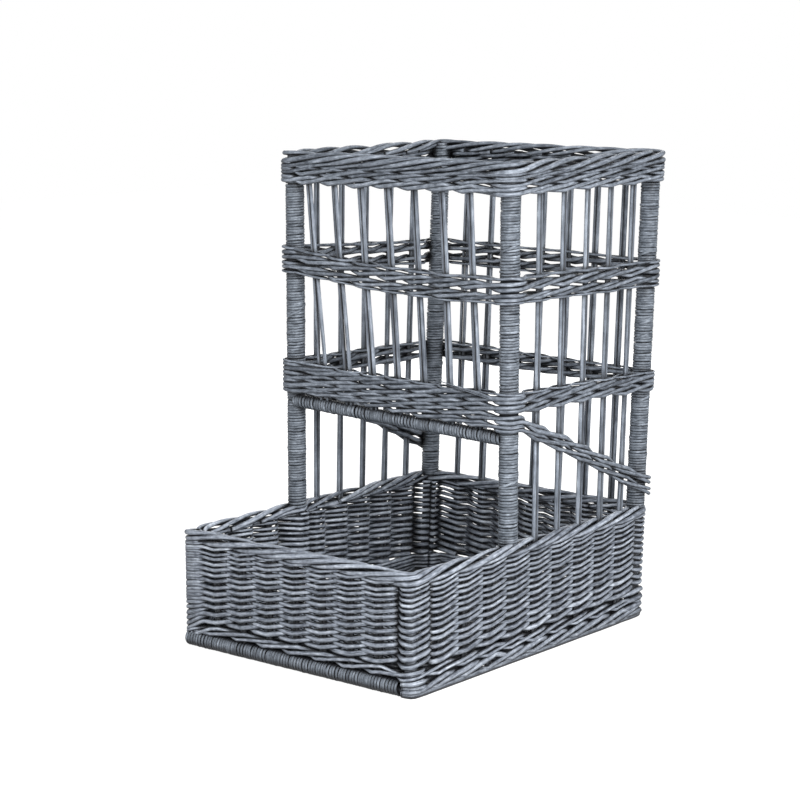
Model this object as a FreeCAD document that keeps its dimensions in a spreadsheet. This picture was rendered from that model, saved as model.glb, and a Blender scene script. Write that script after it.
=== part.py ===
import FreeCAD, Part
import os

# A wicker display basket for loaves and rolls: a woven bin with a tall open tower over its rear part.
# Frame: X runs across the front, -Y is the front, +Z is up, and the origin is on the ground
# in the middle of the bin's footprint. Millimetres.

# Driving dimensions, one cell each
SIZES = {
    "bin_width": 412,  # across the outer faces of the side walls
    "bin_depth": 536,  # outer faces of front and rear wall, on the ground
    "bin_height": 167,  # ground to the top of the bin's border
    "overall_height": 678,  # ground to the top of the tower's border
    "front_bay": 222,  # front face of the bin to the axis of the tower's front posts
    "rear_lean": 36,  # how far the rear wall leans back over the overall height
    "post_diameter": 20.6,
    "post_wrap": 2.3,  # thickness of the cane wrapping on the posts
    "corner_post_diameter": 16,  # short posts in the front corners of the bin
    "stake_diameter": 5.4,  # upright rods, set in pairs
    "pair_gap": 0.4,  # between the two rods of a pair
    "weaver_diameter": 4.6,  # rods that weave round the stakes
    "clearance": 0.2,  # weave to stake or post
    "front_pairs": 7,  # pairs across the front and across the rear
    "side_pairs": 5,  # pairs between front and rear post
    "bay_pairs": 3,  # pairs between bin corner and front post
    "stake_lean": 22,  # how far the tower's front stakes lean to the left
    "foot_level": 2,  # posts and stakes start this far above the ground
    "floor_thickness": 16,
    "floor_stick_diameter": 8,
    "floor_stick_count": 8,
    "floor_hollow": 5,  # depth of the floor's hollows between two sticks
    "weave_hollow": 4.3,  # depth of the weave's hollows between two uprights, on both faces
    "wale_height": 24,  # thick rounds at the foot of the bin
    "bin_border_height": 19,
    "top_border_height": 19,
    "border_overhang": 3,  # borders stand this far out of the wall on both faces
    "border_round": 6,  # rounding of the borders' edges
    "border_cover": 6,  # border above the ends of posts and stakes
    "lower_band_height": 25,
    "middle_band_rise": 7.5,  # its middle above the halfway level of its neighbours
    "middle_band_height": 39,
    "top_band_height": 26,
    "band_tilt": 13,  # the bands' left side is this much higher than the right
    "band_drop": 8,  # the bands' rear is this much lower than the front
    "opening_height": 138,  # bin's border to the underside of the bar over the opening
    "opening_band_height": 28,  # band between that bar and the lower band
    "brace_height": 26,
    "brace_gap": 16.7,  # rear end of the slanting side bands above the bin's border
    "bar_core_diameter": 12,
    "bar_wrap": 2.3,
    "bottom_bar_inset": 7,  # end of the bottom bar to the bin's side face
    "opening_bar_offset": 4,  # axis of the bar over the opening, in front of the posts' axes
    "nail_diameter": 2.4,
    "nail_length": 40,
    "nail_head_diameter": 5,
    "nail_head_thickness": 1.2,
    "nail_sink_depth": 2.6,  # nail heads below the surface
}

doc = FreeCAD.newDocument("wicker_bread_basket")
sheet = doc.addObject("Spreadsheet::Sheet", "Sizes")
for row, (alias, size) in enumerate(SIZES.items(), start=1):
    sheet.set(f"A{row}", alias)
    sheet.set(f"B{row}", str(size))
    sheet.setAlias(f"B{row}", alias)
doc.recompute()

# Places worked out from the driving dimensions
HEIGHT = "Sizes.overall_height"
CLEAR = "Sizes.clearance"
SIDE = "(Sizes.bin_width / 2)"
FRONT = "(-Sizes.bin_depth / 2)"
REAR = "(Sizes.bin_depth / 2)"
WALL = "(Sizes.stake_diameter + 2 * Sizes.weaver_diameter)"
STAKE_INSET = "(Sizes.weaver_diameter + Sizes.stake_diameter / 2)"
POST_INSET = "(Sizes.weaver_diameter + Sizes.post_diameter / 2)"
CORNER_INSET = "(Sizes.weaver_diameter + Sizes.corner_post_diameter / 2)"
POST_X = f"({SIDE} - {POST_INSET})"
FRONT_POST_Y = f"({FRONT} + Sizes.front_bay)"
REAR_POST_Y = f"({REAR} - {POST_INSET})"
TOWER_FRONT = f"({FRONT_POST_Y} - {POST_INSET})"
TOWER_MIDDLE = f"(({FRONT_POST_Y} + {REAR_POST_Y}) / 2)"
TOWER_DEPTH = f"({REAR_POST_Y} - {FRONT_POST_Y})"
CORNER_X = f"({SIDE} - {CORNER_INSET})"
CORNER_Y = f"({FRONT} + {CORNER_INSET})"
REAR_SLOPE = f"(Sizes.rear_lean / {HEIGHT})"
TILT = "(Sizes.band_tilt / Sizes.bin_width)"
DROP = f"(Sizes.band_drop / {TOWER_DEPTH})"
FOOT = "Sizes.foot_level"
BAR_RADIUS = "(Sizes.bar_core_diameter / 2 + Sizes.bar_wrap)"
BOTTOM_BAR_Y = f"({FRONT} + {WALL} / 2)"
BOTTOM_BAR_TOP = f"(2 * {BAR_RADIUS} + {CLEAR})"
OPENING_BAR_Y = f"({FRONT_POST_Y} - Sizes.opening_bar_offset)"
OPENING_BAR_LEVEL = f"(Sizes.bin_height + Sizes.opening_height + {BAR_RADIUS})"
OPENING_BAR_TOP = f"({OPENING_BAR_LEVEL} + {BAR_RADIUS} + {CLEAR})"
FRONT_RISE = f"({DROP} * ({TOWER_MIDDLE} - {TOWER_FRONT}))"
OPENING_BAND_LEVEL = f"({OPENING_BAR_TOP} - {FRONT_RISE})"
LOWER_BAND_LEVEL = f"({OPENING_BAND_LEVEL} + Sizes.opening_band_height)"
BIN_BORDER_LEVEL = "(Sizes.bin_height - Sizes.bin_border_height)"
TOP_BORDER_LEVEL = f"({HEIGHT} - Sizes.top_border_height)"
TOP_BAND_LEVEL = f"({TOP_BORDER_LEVEL} - Sizes.top_band_height)"
HALFWAY = f"(({LOWER_BAND_LEVEL} + Sizes.lower_band_height + {TOP_BAND_LEVEL}) / 2)"
MIDDLE_BAND_LEVEL = f"({HALFWAY} + Sizes.middle_band_rise - Sizes.middle_band_height / 2)"
BIN_STAKE_TOP = "(Sizes.bin_height - Sizes.border_cover)"
TOWER_STAKE_TOP = f"({HEIGHT} - Sizes.border_cover)"
SIDES = {"left": -1, "right": 1}
LARGEST_ROUND = f"(0.9 * {WALL})"  # of an edge that a band's thickness limits
LEVEL_TOLERANCE = 1e-6  # between the ends of an edge that counts as level

# Ways an upright can lean: the axis that turns it over backwards or to the left
BACK = ("-1", "0", "0")
LEFT = ("0", "-1", "0")

parts = []


def vector(x, y, z):
    """The expression for a vector."""
    return f"create(<<vector>>; {x}; {y}; {z})"


def place(obj, at, axis=("0", "0", "1"), turn="0 deg"):
    """Ties an object's place to the sheet: its base point, and a turn about an axis."""
    rotation = f"create(<<rotation>>; {vector(*axis)}; {turn})"
    obj.setExpression("Placement", f"create(<<placement>>; {vector(*at)}; {rotation})")
    return obj


def bind(obj, **expressions):
    """Ties an object's sizes to the sheet."""
    for name, expression in expressions.items():
        obj.setExpression(name, expression)
    return obj


def keep(obj):
    """Takes an object as a finished sub-part."""
    parts.append(obj)
    return obj


def group(label, members):
    """Separate solids held as one object."""
    obj = doc.addObject("Part::Compound", label)
    obj.Links = members
    return obj


def carve(label, base, tools):
    """A base with room cut into it for everything that passes through or lies against it."""
    obj = doc.addObject("Part::Cut", label)
    obj.Base = base
    obj.Tool = tools[0] if len(tools) == 1 else group(label + "_rooms", tools)
    return obj


def cylinder(label, at, diameter, length, axis=("0", "0", "1"), turn="0 deg"):
    """A round bar that starts at a point and follows the turned Z axis."""
    obj = doc.addObject("Part::Cylinder", label)
    bind(obj, Radius=f"{diameter} / 2", Height=length)
    return place(obj, at, axis, turn)


def upright(label, x, y, foot, top, diameter, slope="0", lean=BACK):
    """A standing rod between two levels, leaning over by its slope."""
    length = f"({top} - {foot}) * sqrt(1 + {slope} ^ 2)"
    return cylinder(label, (x, y, foot), diameter, length, lean, f"atan({slope})")


def grown(size):
    """A size with the weave's clearance on both sides."""
    return f"({size} + 2 * {CLEAR})"


def upright_room(label, x, y, foot, top, diameter, slope="0", lean=BACK):
    """The space that an upright takes up in the weave."""
    return upright(label, x, y, f"({foot} - {CLEAR})", f"({top} + {CLEAR})", grown(diameter), slope, lean)


class Stakes:
    """A row of stake pairs: the rods as one object, and the slots they need in the weave."""

    def __init__(self, label, along):
        self.label = label
        self.along = along
        self.rods = []
        self.slots = []

    def add_pair(self, x, y, foot, top, slope="0", lean=BACK):
        """Two rods side by side along the wall, and one slot round both."""
        number = len(self.slots) + 1
        for side, sign in SIDES.items():
            shift = f"{sign} * (Sizes.stake_diameter + Sizes.pair_gap) / 2"
            rod_x = f"({x} + {shift})" if self.along == "x" else x
            rod_y = f"({y} + {shift})" if self.along == "y" else y
            name = f"{self.label}_{number}_{side}"
            self.rods.append(upright(name, rod_x, rod_y, foot, top, "Sizes.stake_diameter", slope, lean))
        across = grown("Sizes.stake_diameter")
        pair = grown("(2 * Sizes.stake_diameter + Sizes.pair_gap)")
        length, width = (pair, across) if self.along == "x" else (across, pair)
        slot = doc.addObject("Part::Box", f"{self.label}_{number}_slot")
        bind(slot, Length=length, Width=width)
        bind(slot, Height=f"({top} - {foot}) * sqrt(1 + {slope} ^ 2) + 2 * {CLEAR}")
        skew = f"{width} / 2 * {slope}" if lean is BACK else f"-{length} / 2 * {slope}"
        corner = (f"{x} - {length} / 2", f"{y} - {width} / 2", f"{foot} - {CLEAR} + {skew}")
        place(slot, corner, lean, f"atan({slope})")
        self.slots.append(slot)

    def finish(self):
        """The finished row."""
        keep(group(self.label, self.rods))
        return self


def share(number, count):
    """How far along a wall a pair stands, as a share of the way between two posts."""
    return f"({number} / ({count} + 1))"


# Uprights of the bin's front part: corner posts and stakes, all standing on the bottom bar
corner_posts = {}
corner_rooms = {}
for side, sign in SIDES.items():
    spot = (f"{sign} * {CORNER_X}", CORNER_Y)
    name = f"bin_{side}_corner_post"
    span = (BOTTOM_BAR_TOP, BIN_STAKE_TOP, "Sizes.corner_post_diameter")
    corner_posts[side] = upright(name + "_rod", *spot, *span)
    corner_rooms[side] = upright_room(name + "_room", *spot, *span)

bin_front_stakes = Stakes("bin_front_stakes", "x")
for number in range(1, SIZES["front_pairs"] + 1):
    across = f"(2 * {share(number, 'Sizes.front_pairs')} - 1) * {CORNER_X}"
    bin_front_stakes.add_pair(f"({across})", f"({FRONT} + {STAKE_INSET})", BOTTOM_BAR_TOP, BIN_STAKE_TOP)
bin_front_stakes.finish()

bay_stakes = {}
for side, sign in SIDES.items():
    row = Stakes(f"bin_{side}_stakes", "y")
    for number in range(1, SIZES["bay_pairs"] + 1):
        along = f"({CORNER_Y} + {share(number, 'Sizes.bay_pairs')} * ({FRONT_POST_Y} - {CORNER_Y}))"
        row.add_pair(f"({sign} * ({SIDE} - {STAKE_INSET}))", along, FOOT, BIN_STAKE_TOP)
    bay_stakes[side] = row.finish()

# Uprights of the tower: the rear wall leans back, and the side stakes share out that lean
posts = {}
post_rooms = {}
for side, sign in SIDES.items():
    x = f"{sign} * {POST_X}"
    places = {
        "front": (x, FRONT_POST_Y, "0"),
        "rear": (x, f"({REAR_POST_Y} + {REAR_SLOPE} * {FOOT})", REAR_SLOPE),
    }
    for end, (post_x, post_y, slope) in places.items():
        name = f"{end}_{side}_post"
        posts[name] = upright(
            name + "_rod", post_x, post_y, FOOT, TOWER_STAKE_TOP, "Sizes.post_diameter", slope
        )
        post_rooms[name] = upright_room(
            name + "_room", post_x, post_y, FOOT, TOWER_STAKE_TOP, "Sizes.post_diameter", slope
        )

side_stakes = {}
for side, sign in SIDES.items():
    row = Stakes(f"tower_{side}_stakes", "y")
    for number in range(1, SIZES["side_pairs"] + 1):
        part_way = share(number, "Sizes.side_pairs")
        slope = f"({part_way} * {REAR_SLOPE})"
        along = f"({FRONT_POST_Y} + {part_way} * {TOWER_DEPTH} + {slope} * {FOOT})"
        row.add_pair(f"({sign} * ({SIDE} - {STAKE_INSET}))", along, FOOT, TOWER_STAKE_TOP, slope)
    side_stakes[side] = row.finish()

rear_stakes = Stakes("tower_rear_stakes", "x")
front_stakes = Stakes("tower_front_stakes", "x")
FRONT_STAKE_FOOT = f"({OPENING_BAR_TOP} + Sizes.band_tilt / 2)"
STAKE_SLOPE = f"(Sizes.stake_lean / ({TOWER_STAKE_TOP} - {FRONT_STAKE_FOOT}))"
for number in range(1, SIZES["front_pairs"] + 1):
    across = f"((2 * {share(number, 'Sizes.front_pairs')} - 1) * {POST_X})"
    rear_y = f"({REAR} - {STAKE_INSET} + {REAR_SLOPE} * {FOOT})"
    rear_stakes.add_pair(across, rear_y, FOOT, TOWER_STAKE_TOP, REAR_SLOPE)
    front_foot = f"({OPENING_BAR_TOP} - {TILT} * {across})"
    front_stakes.add_pair(
        across, f"({TOWER_FRONT} + {STAKE_INSET})", front_foot, TOWER_STAKE_TOP, STAKE_SLOPE, LEFT
    )
rear_stakes.finish()
front_stakes.finish()

bin_slots = bin_front_stakes.slots + bay_stakes["left"].slots + bay_stakes["right"].slots
side_slots = side_stakes["left"].slots + side_stakes["right"].slots
tower_slots = side_slots + rear_stakes.slots + front_stakes.slots
all_post_rooms = list(post_rooms.values())
bin_rooms = bin_slots + side_slots + rear_stakes.slots + list(corner_rooms.values()) + all_post_rooms
tower_rooms = tower_slots + all_post_rooms


def wedge(body, kind, label, side, front, rear_low, rear_high, height):
    """A block with upright front and sides whose rear face may lean, standing on the body's XY plane."""
    obj = body.newObject(f"PartDesign::{kind}", label)
    bind(obj, Xmin=f"-{side}", X2min=f"-{side}", Xmax=side, X2max=side)
    bind(obj, Ymin="0", Ymax=height)
    bind(obj, Zmin=f"-{rear_low}", Z2min=f"-{rear_high}", Zmax=f"-{front}", Z2max=f"-{front}")
    obj.Placement = FreeCAD.Placement(FreeCAD.Vector(0, 0, 0), FreeCAD.Rotation(FreeCAD.Vector(1, 0, 0), 90))
    doc.recompute()
    return obj


def edges_where(shape, test):
    """The names of the edges whose end points all pass a test."""
    return [f"Edge{n}" for n, edge in enumerate(shape.Edges, 1) if test([v.Point for v in edge.Vertexes])]


def round_edges(body, base, label, radius, test):
    """Rounds the edges of a feature that pass a test."""
    obj = body.newObject("PartDesign::Fillet", label)
    obj.Base = (base, edges_where(base.Shape, test))
    obj.setExpression("Radius", radius)
    doc.recompute()
    return obj


def round_corners(body, base, label, radius, front):
    """Rounds a block's two upright edges at the front, or at the rear."""
    middle = base.Shape.BoundBox.Center.y

    def at_corner(ends):
        is_upright = abs(ends[0].z - ends[1].z) > base.Shape.BoundBox.ZLength / 2
        return is_upright and all((end.y < middle) == front for end in ends)

    return round_edges(body, base, label, radius, at_corner)


def tilt_body(body, level):
    """Lays a band at its level in the tower, higher on the left and lower at the rear."""
    axis = (f"-{DROP}", TILT, "0")
    place(body, ("0", TOWER_MIDDLE, level), axis, f"atan(sqrt({TILT} ^ 2 + {DROP} ^ 2))")


def ring(label, front, level, height, front_round, spread="0", middle="0"):
    """A closed band round the stakes: outer block with rounded corners, less the block inside it.

    The rear face leans with the posts. Local Y is counted from the given middle.
    """
    body = doc.addObject("PartDesign::Body", label + "_body")
    low = f"({REAR} + {REAR_SLOPE} * {level} - {middle})"
    high = f"({REAR} + {REAR_SLOPE} * ({level} + {height}) - {middle})"
    start = f"({front} - {middle})"
    outer = wedge(
        body, "AdditiveWedge", label + "_outer", f"({SIDE} + {spread})", f"({start} - {spread})",
        f"({low} + {spread})", f"({high} + {spread})", height,
    )
    rear_round = f"({POST_INSET} + {spread})"
    rounded = round_corners(body, outer, label + "_front_round", f"({front_round} + {spread})", True)
    round_corners(body, rounded, label + "_rear_round", rear_round, False)
    inset = f"({WALL} + {spread})"
    wedge(
        body, "SubtractiveWedge", label + "_inner", f"({SIDE} - {inset})", f"({start} + {inset})",
        f"({low} - {inset})", f"({high} - {inset})", height,
    )
    place(body, ("0", middle, level))
    return body


def soften(body, label):
    """Rounds a border's upper and lower edges."""

    def on_rim(ends):
        return all(abs(end.z - ends[0].z) < LEVEL_TOLERANCE for end in ends)

    return round_edges(body, body.Tip, label + "_soft", "Sizes.border_round", on_rim)


# The bin's woven wall, from the ground up: thick wale, close weave, rolled border
wale_ring = ring("bottom_wale", FRONT, "0", "Sizes.wale_height", CORNER_INSET)
bar_room = doc.addObject("Part::Box", "bottom_bar_room")
bar_room_half = f"({SIDE} - Sizes.bottom_bar_inset + {CLEAR})"
bind(bar_room, Length=f"2 * {bar_room_half}", Width=f"2 * {WALL}", Height=BOTTOM_BAR_TOP)
place(bar_room, (f"-{bar_room_half}", f"{FRONT} - {WALL} / 2", "0"))
keep(carve("bottom_wale", wale_ring, bin_rooms + [bar_room]))

# The close weave swells over each upright and sinks in between
HOLLOW_SHARE = "0.45"  # radius of a hollow, as a share of the distance between two uprights
POST_SHIFT = "(Sizes.weaver_diameter / 2)"  # hollows beside a post stand this much further from it


def hollow_pairs(label, along, line, first, last, pairs, slope="0", last_slope="0"):
    """The hollows on both faces of a wall, in every gap between two posts and the stakes between them.

    The line gives the place of the wall's outer face on the ground and the sign of its outward side.
    """
    face, sign = line
    step = f"(({last} - {first}) / (Sizes.{pairs} + 1))"
    radius = f"({HOLLOW_SHARE} * {step})"
    gaps = SIZES[pairs] + 1
    hollows = []
    for number in range(gaps):
        beside_post = (number == 0) - (number == gaps - 1)
        middle = f"({first} + {number + 0.5} * {step} + {beside_post} * {POST_SHIFT})"
        lean = f"({slope} + {(number + 0.5) / gaps} * ({last_slope} - {slope}))"
        outside = f"({face} + {sign} * ({radius} - Sizes.weave_hollow))"
        inside = f"({face} - {sign} * ({WALL} + {radius} - Sizes.weave_hollow))"
        for name, across in {"outer": outside, "inner": inside}.items():
            spot = (middle, across) if along == "x" else (across, middle)
            span = ("0", "Sizes.bin_height", f"2 * {radius}")
            hollows.append(upright(f"{label}_{name}_hollow_{number + 1}", *spot, *span, lean))
    return hollows


end_hollows = hollow_pairs("front", "x", (FRONT, -1), f"-{CORNER_X}", CORNER_X, "front_pairs")
end_hollows += hollow_pairs(
    "rear", "x", (REAR, 1), f"-{POST_X}", POST_X, "front_pairs", REAR_SLOPE, REAR_SLOPE
)
side_hollows = []
for side, sign in SIDES.items():
    line = (f"{sign} * {SIDE}", sign)
    bay_args = (line, CORNER_Y, FRONT_POST_Y, "bay_pairs")
    side_args = (line, FRONT_POST_Y, REAR_POST_Y, "side_pairs", "0", REAR_SLOPE)
    side_hollows += hollow_pairs(f"{side}_bay", "y", *bay_args)
    side_hollows += hollow_pairs(f"{side}_side", "y", *side_args)

weave_height = f"({BIN_BORDER_LEVEL} - Sizes.wale_height)"
weave_ring = ring("bin_weave", FRONT, "Sizes.wale_height", weave_height, CORNER_INSET)
weave_bored = carve("bin_weave_bored", weave_ring, bin_rooms)
weave_ends = carve("bin_weave_ends", weave_bored, end_hollows)
keep(carve("bin_weave", weave_ends, side_hollows))

bin_border_ring = ring(
    "bin_border", FRONT, BIN_BORDER_LEVEL, "Sizes.bin_border_height", CORNER_INSET, "Sizes.border_overhang"
)
soften(bin_border_ring, "bin_border")
keep(carve("bin_border", bin_border_ring, bin_rooms))

# The tower's bands: two tilted rounds, a level round at the top and the rolled border over it
lower_ring = ring(
    "lower_band", TOWER_FRONT, LOWER_BAND_LEVEL, "Sizes.lower_band_height", POST_INSET,
    middle=TOWER_MIDDLE,
)
tilt_body(lower_ring, LOWER_BAND_LEVEL)
keep(carve("lower_band", lower_ring, tower_rooms))

middle_ring = ring(
    "middle_band", TOWER_FRONT, MIDDLE_BAND_LEVEL, "Sizes.middle_band_height", POST_INSET,
    middle=TOWER_MIDDLE,
)
tilt_body(middle_ring, MIDDLE_BAND_LEVEL)
keep(carve("middle_band", middle_ring, tower_rooms))

top_ring = ring("top_band", TOWER_FRONT, TOP_BAND_LEVEL, "Sizes.top_band_height", POST_INSET)
keep(carve("top_band", top_ring, tower_rooms))

top_border_ring = ring(
    "top_border", TOWER_FRONT, TOP_BORDER_LEVEL, "Sizes.top_border_height", POST_INSET,
    "Sizes.border_overhang",
)
soften(top_border_ring, "top_border")
keep(carve("top_border", top_border_ring, tower_rooms))

# The band over the opening fills the space between the bar and the lower band
opening_body = doc.addObject("PartDesign::Body", "opening_band_body")
opening_front = f"({TOWER_FRONT} - {TOWER_MIDDLE})"
opening_block = wedge(
    opening_body, "AdditiveWedge", "opening_band_block", SIDE, opening_front,
    f"({opening_front} + {WALL})", f"({opening_front} + {WALL})", "Sizes.opening_band_height",
)
round_corners(opening_body, opening_block, "opening_band_round", f"min({POST_INSET}; {LARGEST_ROUND})", True)
tilt_body(opening_body, OPENING_BAND_LEVEL)
front_posts_rooms = [post_rooms["front_left_post"], post_rooms["front_right_post"]]
keep(carve("opening_band", opening_body, front_stakes.slots + front_posts_rooms))

# The slanting bands carry on from it along both sides, down to the rear posts
braces = {}
for side, sign in SIDES.items():
    block = doc.addObject("Part::Wedge", f"{side}_brace_block")
    start = f"({TOWER_FRONT} + {WALL} + {CLEAR} + {DROP} * Sizes.opening_band_height)"
    side_drop = f"{sign} * {TILT} * {POST_X}"
    half = "Sizes.brace_height / 2"
    near = f"({OPENING_BAR_TOP} + Sizes.opening_band_height / 2 - {side_drop})"
    far = f"(Sizes.bin_height + Sizes.brace_gap + {half} - {side_drop})"
    inner = f"({SIDE} - {WALL})"
    face_a, face_b = (inner, SIDE) if sign > 0 else (f"-{SIDE}", f"-{inner}")
    bind(block, Xmin=face_a, X2min=face_a, Xmax=face_b, X2max=face_b)
    bind(block, Ymin=start, Ymax=f"({REAR} + {REAR_SLOPE} * {far})")
    bind(block, Zmin=f"{near} - {half}", Zmax=f"{near} + {half}")
    bind(block, Z2min=f"{far} - {half}", Z2max=f"{far} + {half}")
    braces[side] = block
    rooms = side_stakes[side].slots + [post_rooms[f"front_{side}_post"], post_rooms[f"rear_{side}_post"]]
    keep(carve(f"{side}_brace_band", block, rooms))


def nail(label, at, axis, turn, grow="0", reach="0"):
    """A round nail pointing along the turned Z axis, its head's outer face at the given point."""
    head = cylinder(
        label + "_head", at, f"(Sizes.nail_head_diameter + 2 * {grow})",
        f"Sizes.nail_head_thickness + {grow}", axis, turn,
    )
    shank = cylinder(
        label + "_shank", at, f"(Sizes.nail_diameter + 2 * {grow})", f"Sizes.nail_length + {grow}", axis, turn
    )
    solids = [head, shank]
    if reach != "0":
        mouth_diameter = f"(Sizes.nail_head_diameter + 2 * {grow})"
        back = f"({turn} + 180 deg)"
        solids.append(cylinder(label + "_mouth", at, mouth_diameter, reach, axis, back))
    obj = doc.addObject("Part::MultiFuse", label)
    obj.Shapes = solids
    return obj


def level_bar(label, half_length, y, level, diameter, tilt="0"):
    """A round bar that runs across, from left to right, with its left end raised by its tilt."""
    start = (f"-{half_length}", y, f"({level} + {tilt} * {half_length})")
    length = f"2 * {half_length} * sqrt(1 + {tilt} ^ 2)"
    return cylinder(label, start, diameter, length, ("0", "1", "0"), f"(90 deg + atan({tilt}))")


# The bar over the opening: a wrapped stick between the front posts, nailed through them
opening_args = (POST_X, OPENING_BAR_Y, OPENING_BAR_LEVEL)
opening_core = level_bar("opening_bar_stick", *opening_args, "Sizes.bar_core_diameter", TILT)
core_room = level_bar("opening_bar_core_room", *opening_args, grown("Sizes.bar_core_diameter"), TILT)
opening_sleeve = level_bar("opening_bar_sleeve", *opening_args, f"(2 * {BAR_RADIUS})", TILT)
opening_nails = []
opening_nail_rooms = {}
wrapped_rooms = []
for side, sign in SIDES.items():
    head_x = f"{sign} * ({POST_X} + Sizes.post_diameter / 2 - Sizes.nail_sink_depth)"
    nail_level = f"({OPENING_BAR_LEVEL} - {sign} * {TILT} * {POST_X})"
    at = (head_x, OPENING_BAR_Y, nail_level)
    turn = f"{-sign} * 90 deg"
    name = f"opening_bar_{side}_nail"
    opening_nails.append(nail(name, at, ("0", "1", "0"), turn))
    opening_nail_rooms[side] = nail(name + "_room", at, ("0", "1", "0"), turn, CLEAR, "Sizes.post_diameter")
    wrapped = grown("(Sizes.post_diameter + 2 * Sizes.post_wrap)")
    room_name = f"front_{side}_wrapped_room"
    post_x = f"{sign} * {POST_X}"
    wrapped_rooms.append(upright(room_name, post_x, FRONT_POST_Y, FOOT, TOWER_STAKE_TOP, wrapped))
keep(carve("opening_bar", opening_core, front_posts_rooms + list(opening_nail_rooms.values())))
keep(carve("opening_bar_wrap", opening_sleeve, wrapped_rooms + [core_room]))
keep(group("opening_bar_nails", opening_nails))

# The bar under the front of the bin: a wrapped stick nailed up into the corner posts
bottom_half = f"({SIDE} - Sizes.bottom_bar_inset)"
bottom_args = (bottom_half, BOTTOM_BAR_Y, BAR_RADIUS)
bottom_core = level_bar("bottom_bar_stick", *bottom_args, "Sizes.bar_core_diameter")
bottom_core_room = level_bar("bottom_bar_core_room", *bottom_args, grown("Sizes.bar_core_diameter"))
bottom_sleeve = level_bar("bottom_bar_sleeve", *bottom_args, f"(2 * {BAR_RADIUS})")
bottom_nails = []
bottom_nail_rooms = {}
for side, sign in SIDES.items():
    at = (f"{sign} * {CORNER_X}", BOTTOM_BAR_Y, "Sizes.nail_sink_depth")
    name = f"bottom_bar_{side}_nail"
    upward = (("1", "0", "0"), "0 deg")
    bottom_nails.append(nail(name, at, *upward))
    bottom_nail_rooms[side] = nail(name + "_room", at, *upward, CLEAR, "Sizes.nail_sink_depth")
bottom_rooms = list(bottom_nail_rooms.values())
keep(carve("bottom_bar", bottom_core, bottom_rooms))
keep(carve("bottom_bar_wrap", carve("bottom_bar_tube", bottom_sleeve, [bottom_core_room]), bottom_rooms))
keep(group("bottom_bar_nails", bottom_nails))

# Posts, bored for the nails, and the cane wrapping on the tower's posts between the bands
for side in SIDES:
    keep(carve(f"bin_{side}_corner_post", corner_posts[side], [bottom_nail_rooms[side]]))
    keep(carve(f"front_{side}_post", posts[f"front_{side}_post"], [opening_nail_rooms[side]]))
    keep(group(f"rear_{side}_post", [posts[f"rear_{side}_post"]]))

for side, sign in SIDES.items():
    wrap_diameter = "(Sizes.post_diameter + 2 * Sizes.post_wrap)"
    x = f"{sign} * {POST_X}"
    rear_y = f"({REAR_POST_Y} + {REAR_SLOPE} * Sizes.bin_height)"
    front_sleeve = upright(
        f"front_{side}_post_sleeve", x, FRONT_POST_Y, "Sizes.bin_height", TOP_BAND_LEVEL, wrap_diameter
    )
    rear_sleeve = upright(
        f"rear_{side}_post_sleeve", x, rear_y, "Sizes.bin_height", TOP_BAND_LEVEL, wrap_diameter, REAR_SLOPE
    )
    bands = [lower_ring, middle_ring]
    front_tube = carve(f"front_{side}_post_tube", front_sleeve, [post_rooms[f"front_{side}_post"]])
    front_notched = carve(f"front_{side}_post_notched", front_tube, bands + [core_room])
    front_braced = carve(f"front_{side}_post_braced", front_notched, [braces[side]])
    keep(carve(f"front_{side}_post_wrap", front_braced, [opening_body]))
    rear_tube = carve(f"rear_{side}_post_tube", rear_sleeve, [post_rooms[f"rear_{side}_post"]])
    keep(carve(f"rear_{side}_post_wrap", rear_tube, bands + [braces[side]]))

# The floor: a woven panel on straight sticks that run from front to rear
FLOOR_FRONT = f"({BOTTOM_BAR_Y} + {BAR_RADIUS} + {CLEAR})"
FLOOR_REAR = f"({REAR} - {WALL} - {CLEAR})"
FLOOR_SIDE = f"({SIDE} - {WALL} - {CLEAR})"
panel = doc.addObject("Part::Box", "floor_panel")
bind(
    panel, Length=f"2 * {FLOOR_SIDE}", Width=f"({FLOOR_REAR} - {FLOOR_FRONT})", Height="Sizes.floor_thickness"
)
place(panel, (f"-{FLOOR_SIDE}", FLOOR_FRONT, "0"))
sticks = []
stick_rooms = []
for number in range(SIZES["floor_stick_count"]):
    across = f"((2 * {number} + 1 - Sizes.floor_stick_count) * {FLOOR_SIDE} / Sizes.floor_stick_count)"
    at = (across, FLOOR_REAR, "Sizes.floor_thickness / 2")
    length = f"({FLOOR_REAR} - {FLOOR_FRONT})"
    name = f"floor_stick_{number + 1}"
    sticks.append(cylinder(name, at, "Sizes.floor_stick_diameter", length, ("1", "0", "0"), "90 deg"))
    stick_rooms.append(
        cylinder(name + "_room", at, grown("Sizes.floor_stick_diameter"), length, ("1", "0", "0"), "90 deg")
    )
keep(group("floor_sticks", sticks))
floor_bored = carve("floor_bored", panel, stick_rooms + all_post_rooms)
floor_step = f"(2 * {FLOOR_SIDE} / Sizes.floor_stick_count)"
floor_radius = f"({HOLLOW_SHARE} * {floor_step})"
floor_hollows = []
for number in range(SIZES["floor_stick_count"] + 1):
    level = f"(Sizes.floor_thickness - Sizes.floor_hollow + {floor_radius})"
    at = (f"({number} * {floor_step} - {FLOOR_SIDE})", FLOOR_REAR, level)
    length = f"({FLOOR_REAR} - {FLOOR_FRONT})"
    diameter = f"(2 * {floor_radius})"
    name = f"floor_hollow_{number + 1}"
    floor_hollows.append(cylinder(name, at, diameter, length, ("1", "0", "0"), "90 deg"))
keep(carve("floor_weave", floor_bored, floor_hollows))

doc.recompute()
failed = [obj.Label for obj in doc.Objects if {"Invalid", "Error"} & set(obj.State)]
if failed:
    raise SystemExit("failed to build: " + ", ".join(failed))
for obj in parts:
    if obj.Shape.isNull() or not obj.Shape.isValid() or not obj.Shape.Solids:
        raise SystemExit("bad shape: " + obj.Label)

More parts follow.
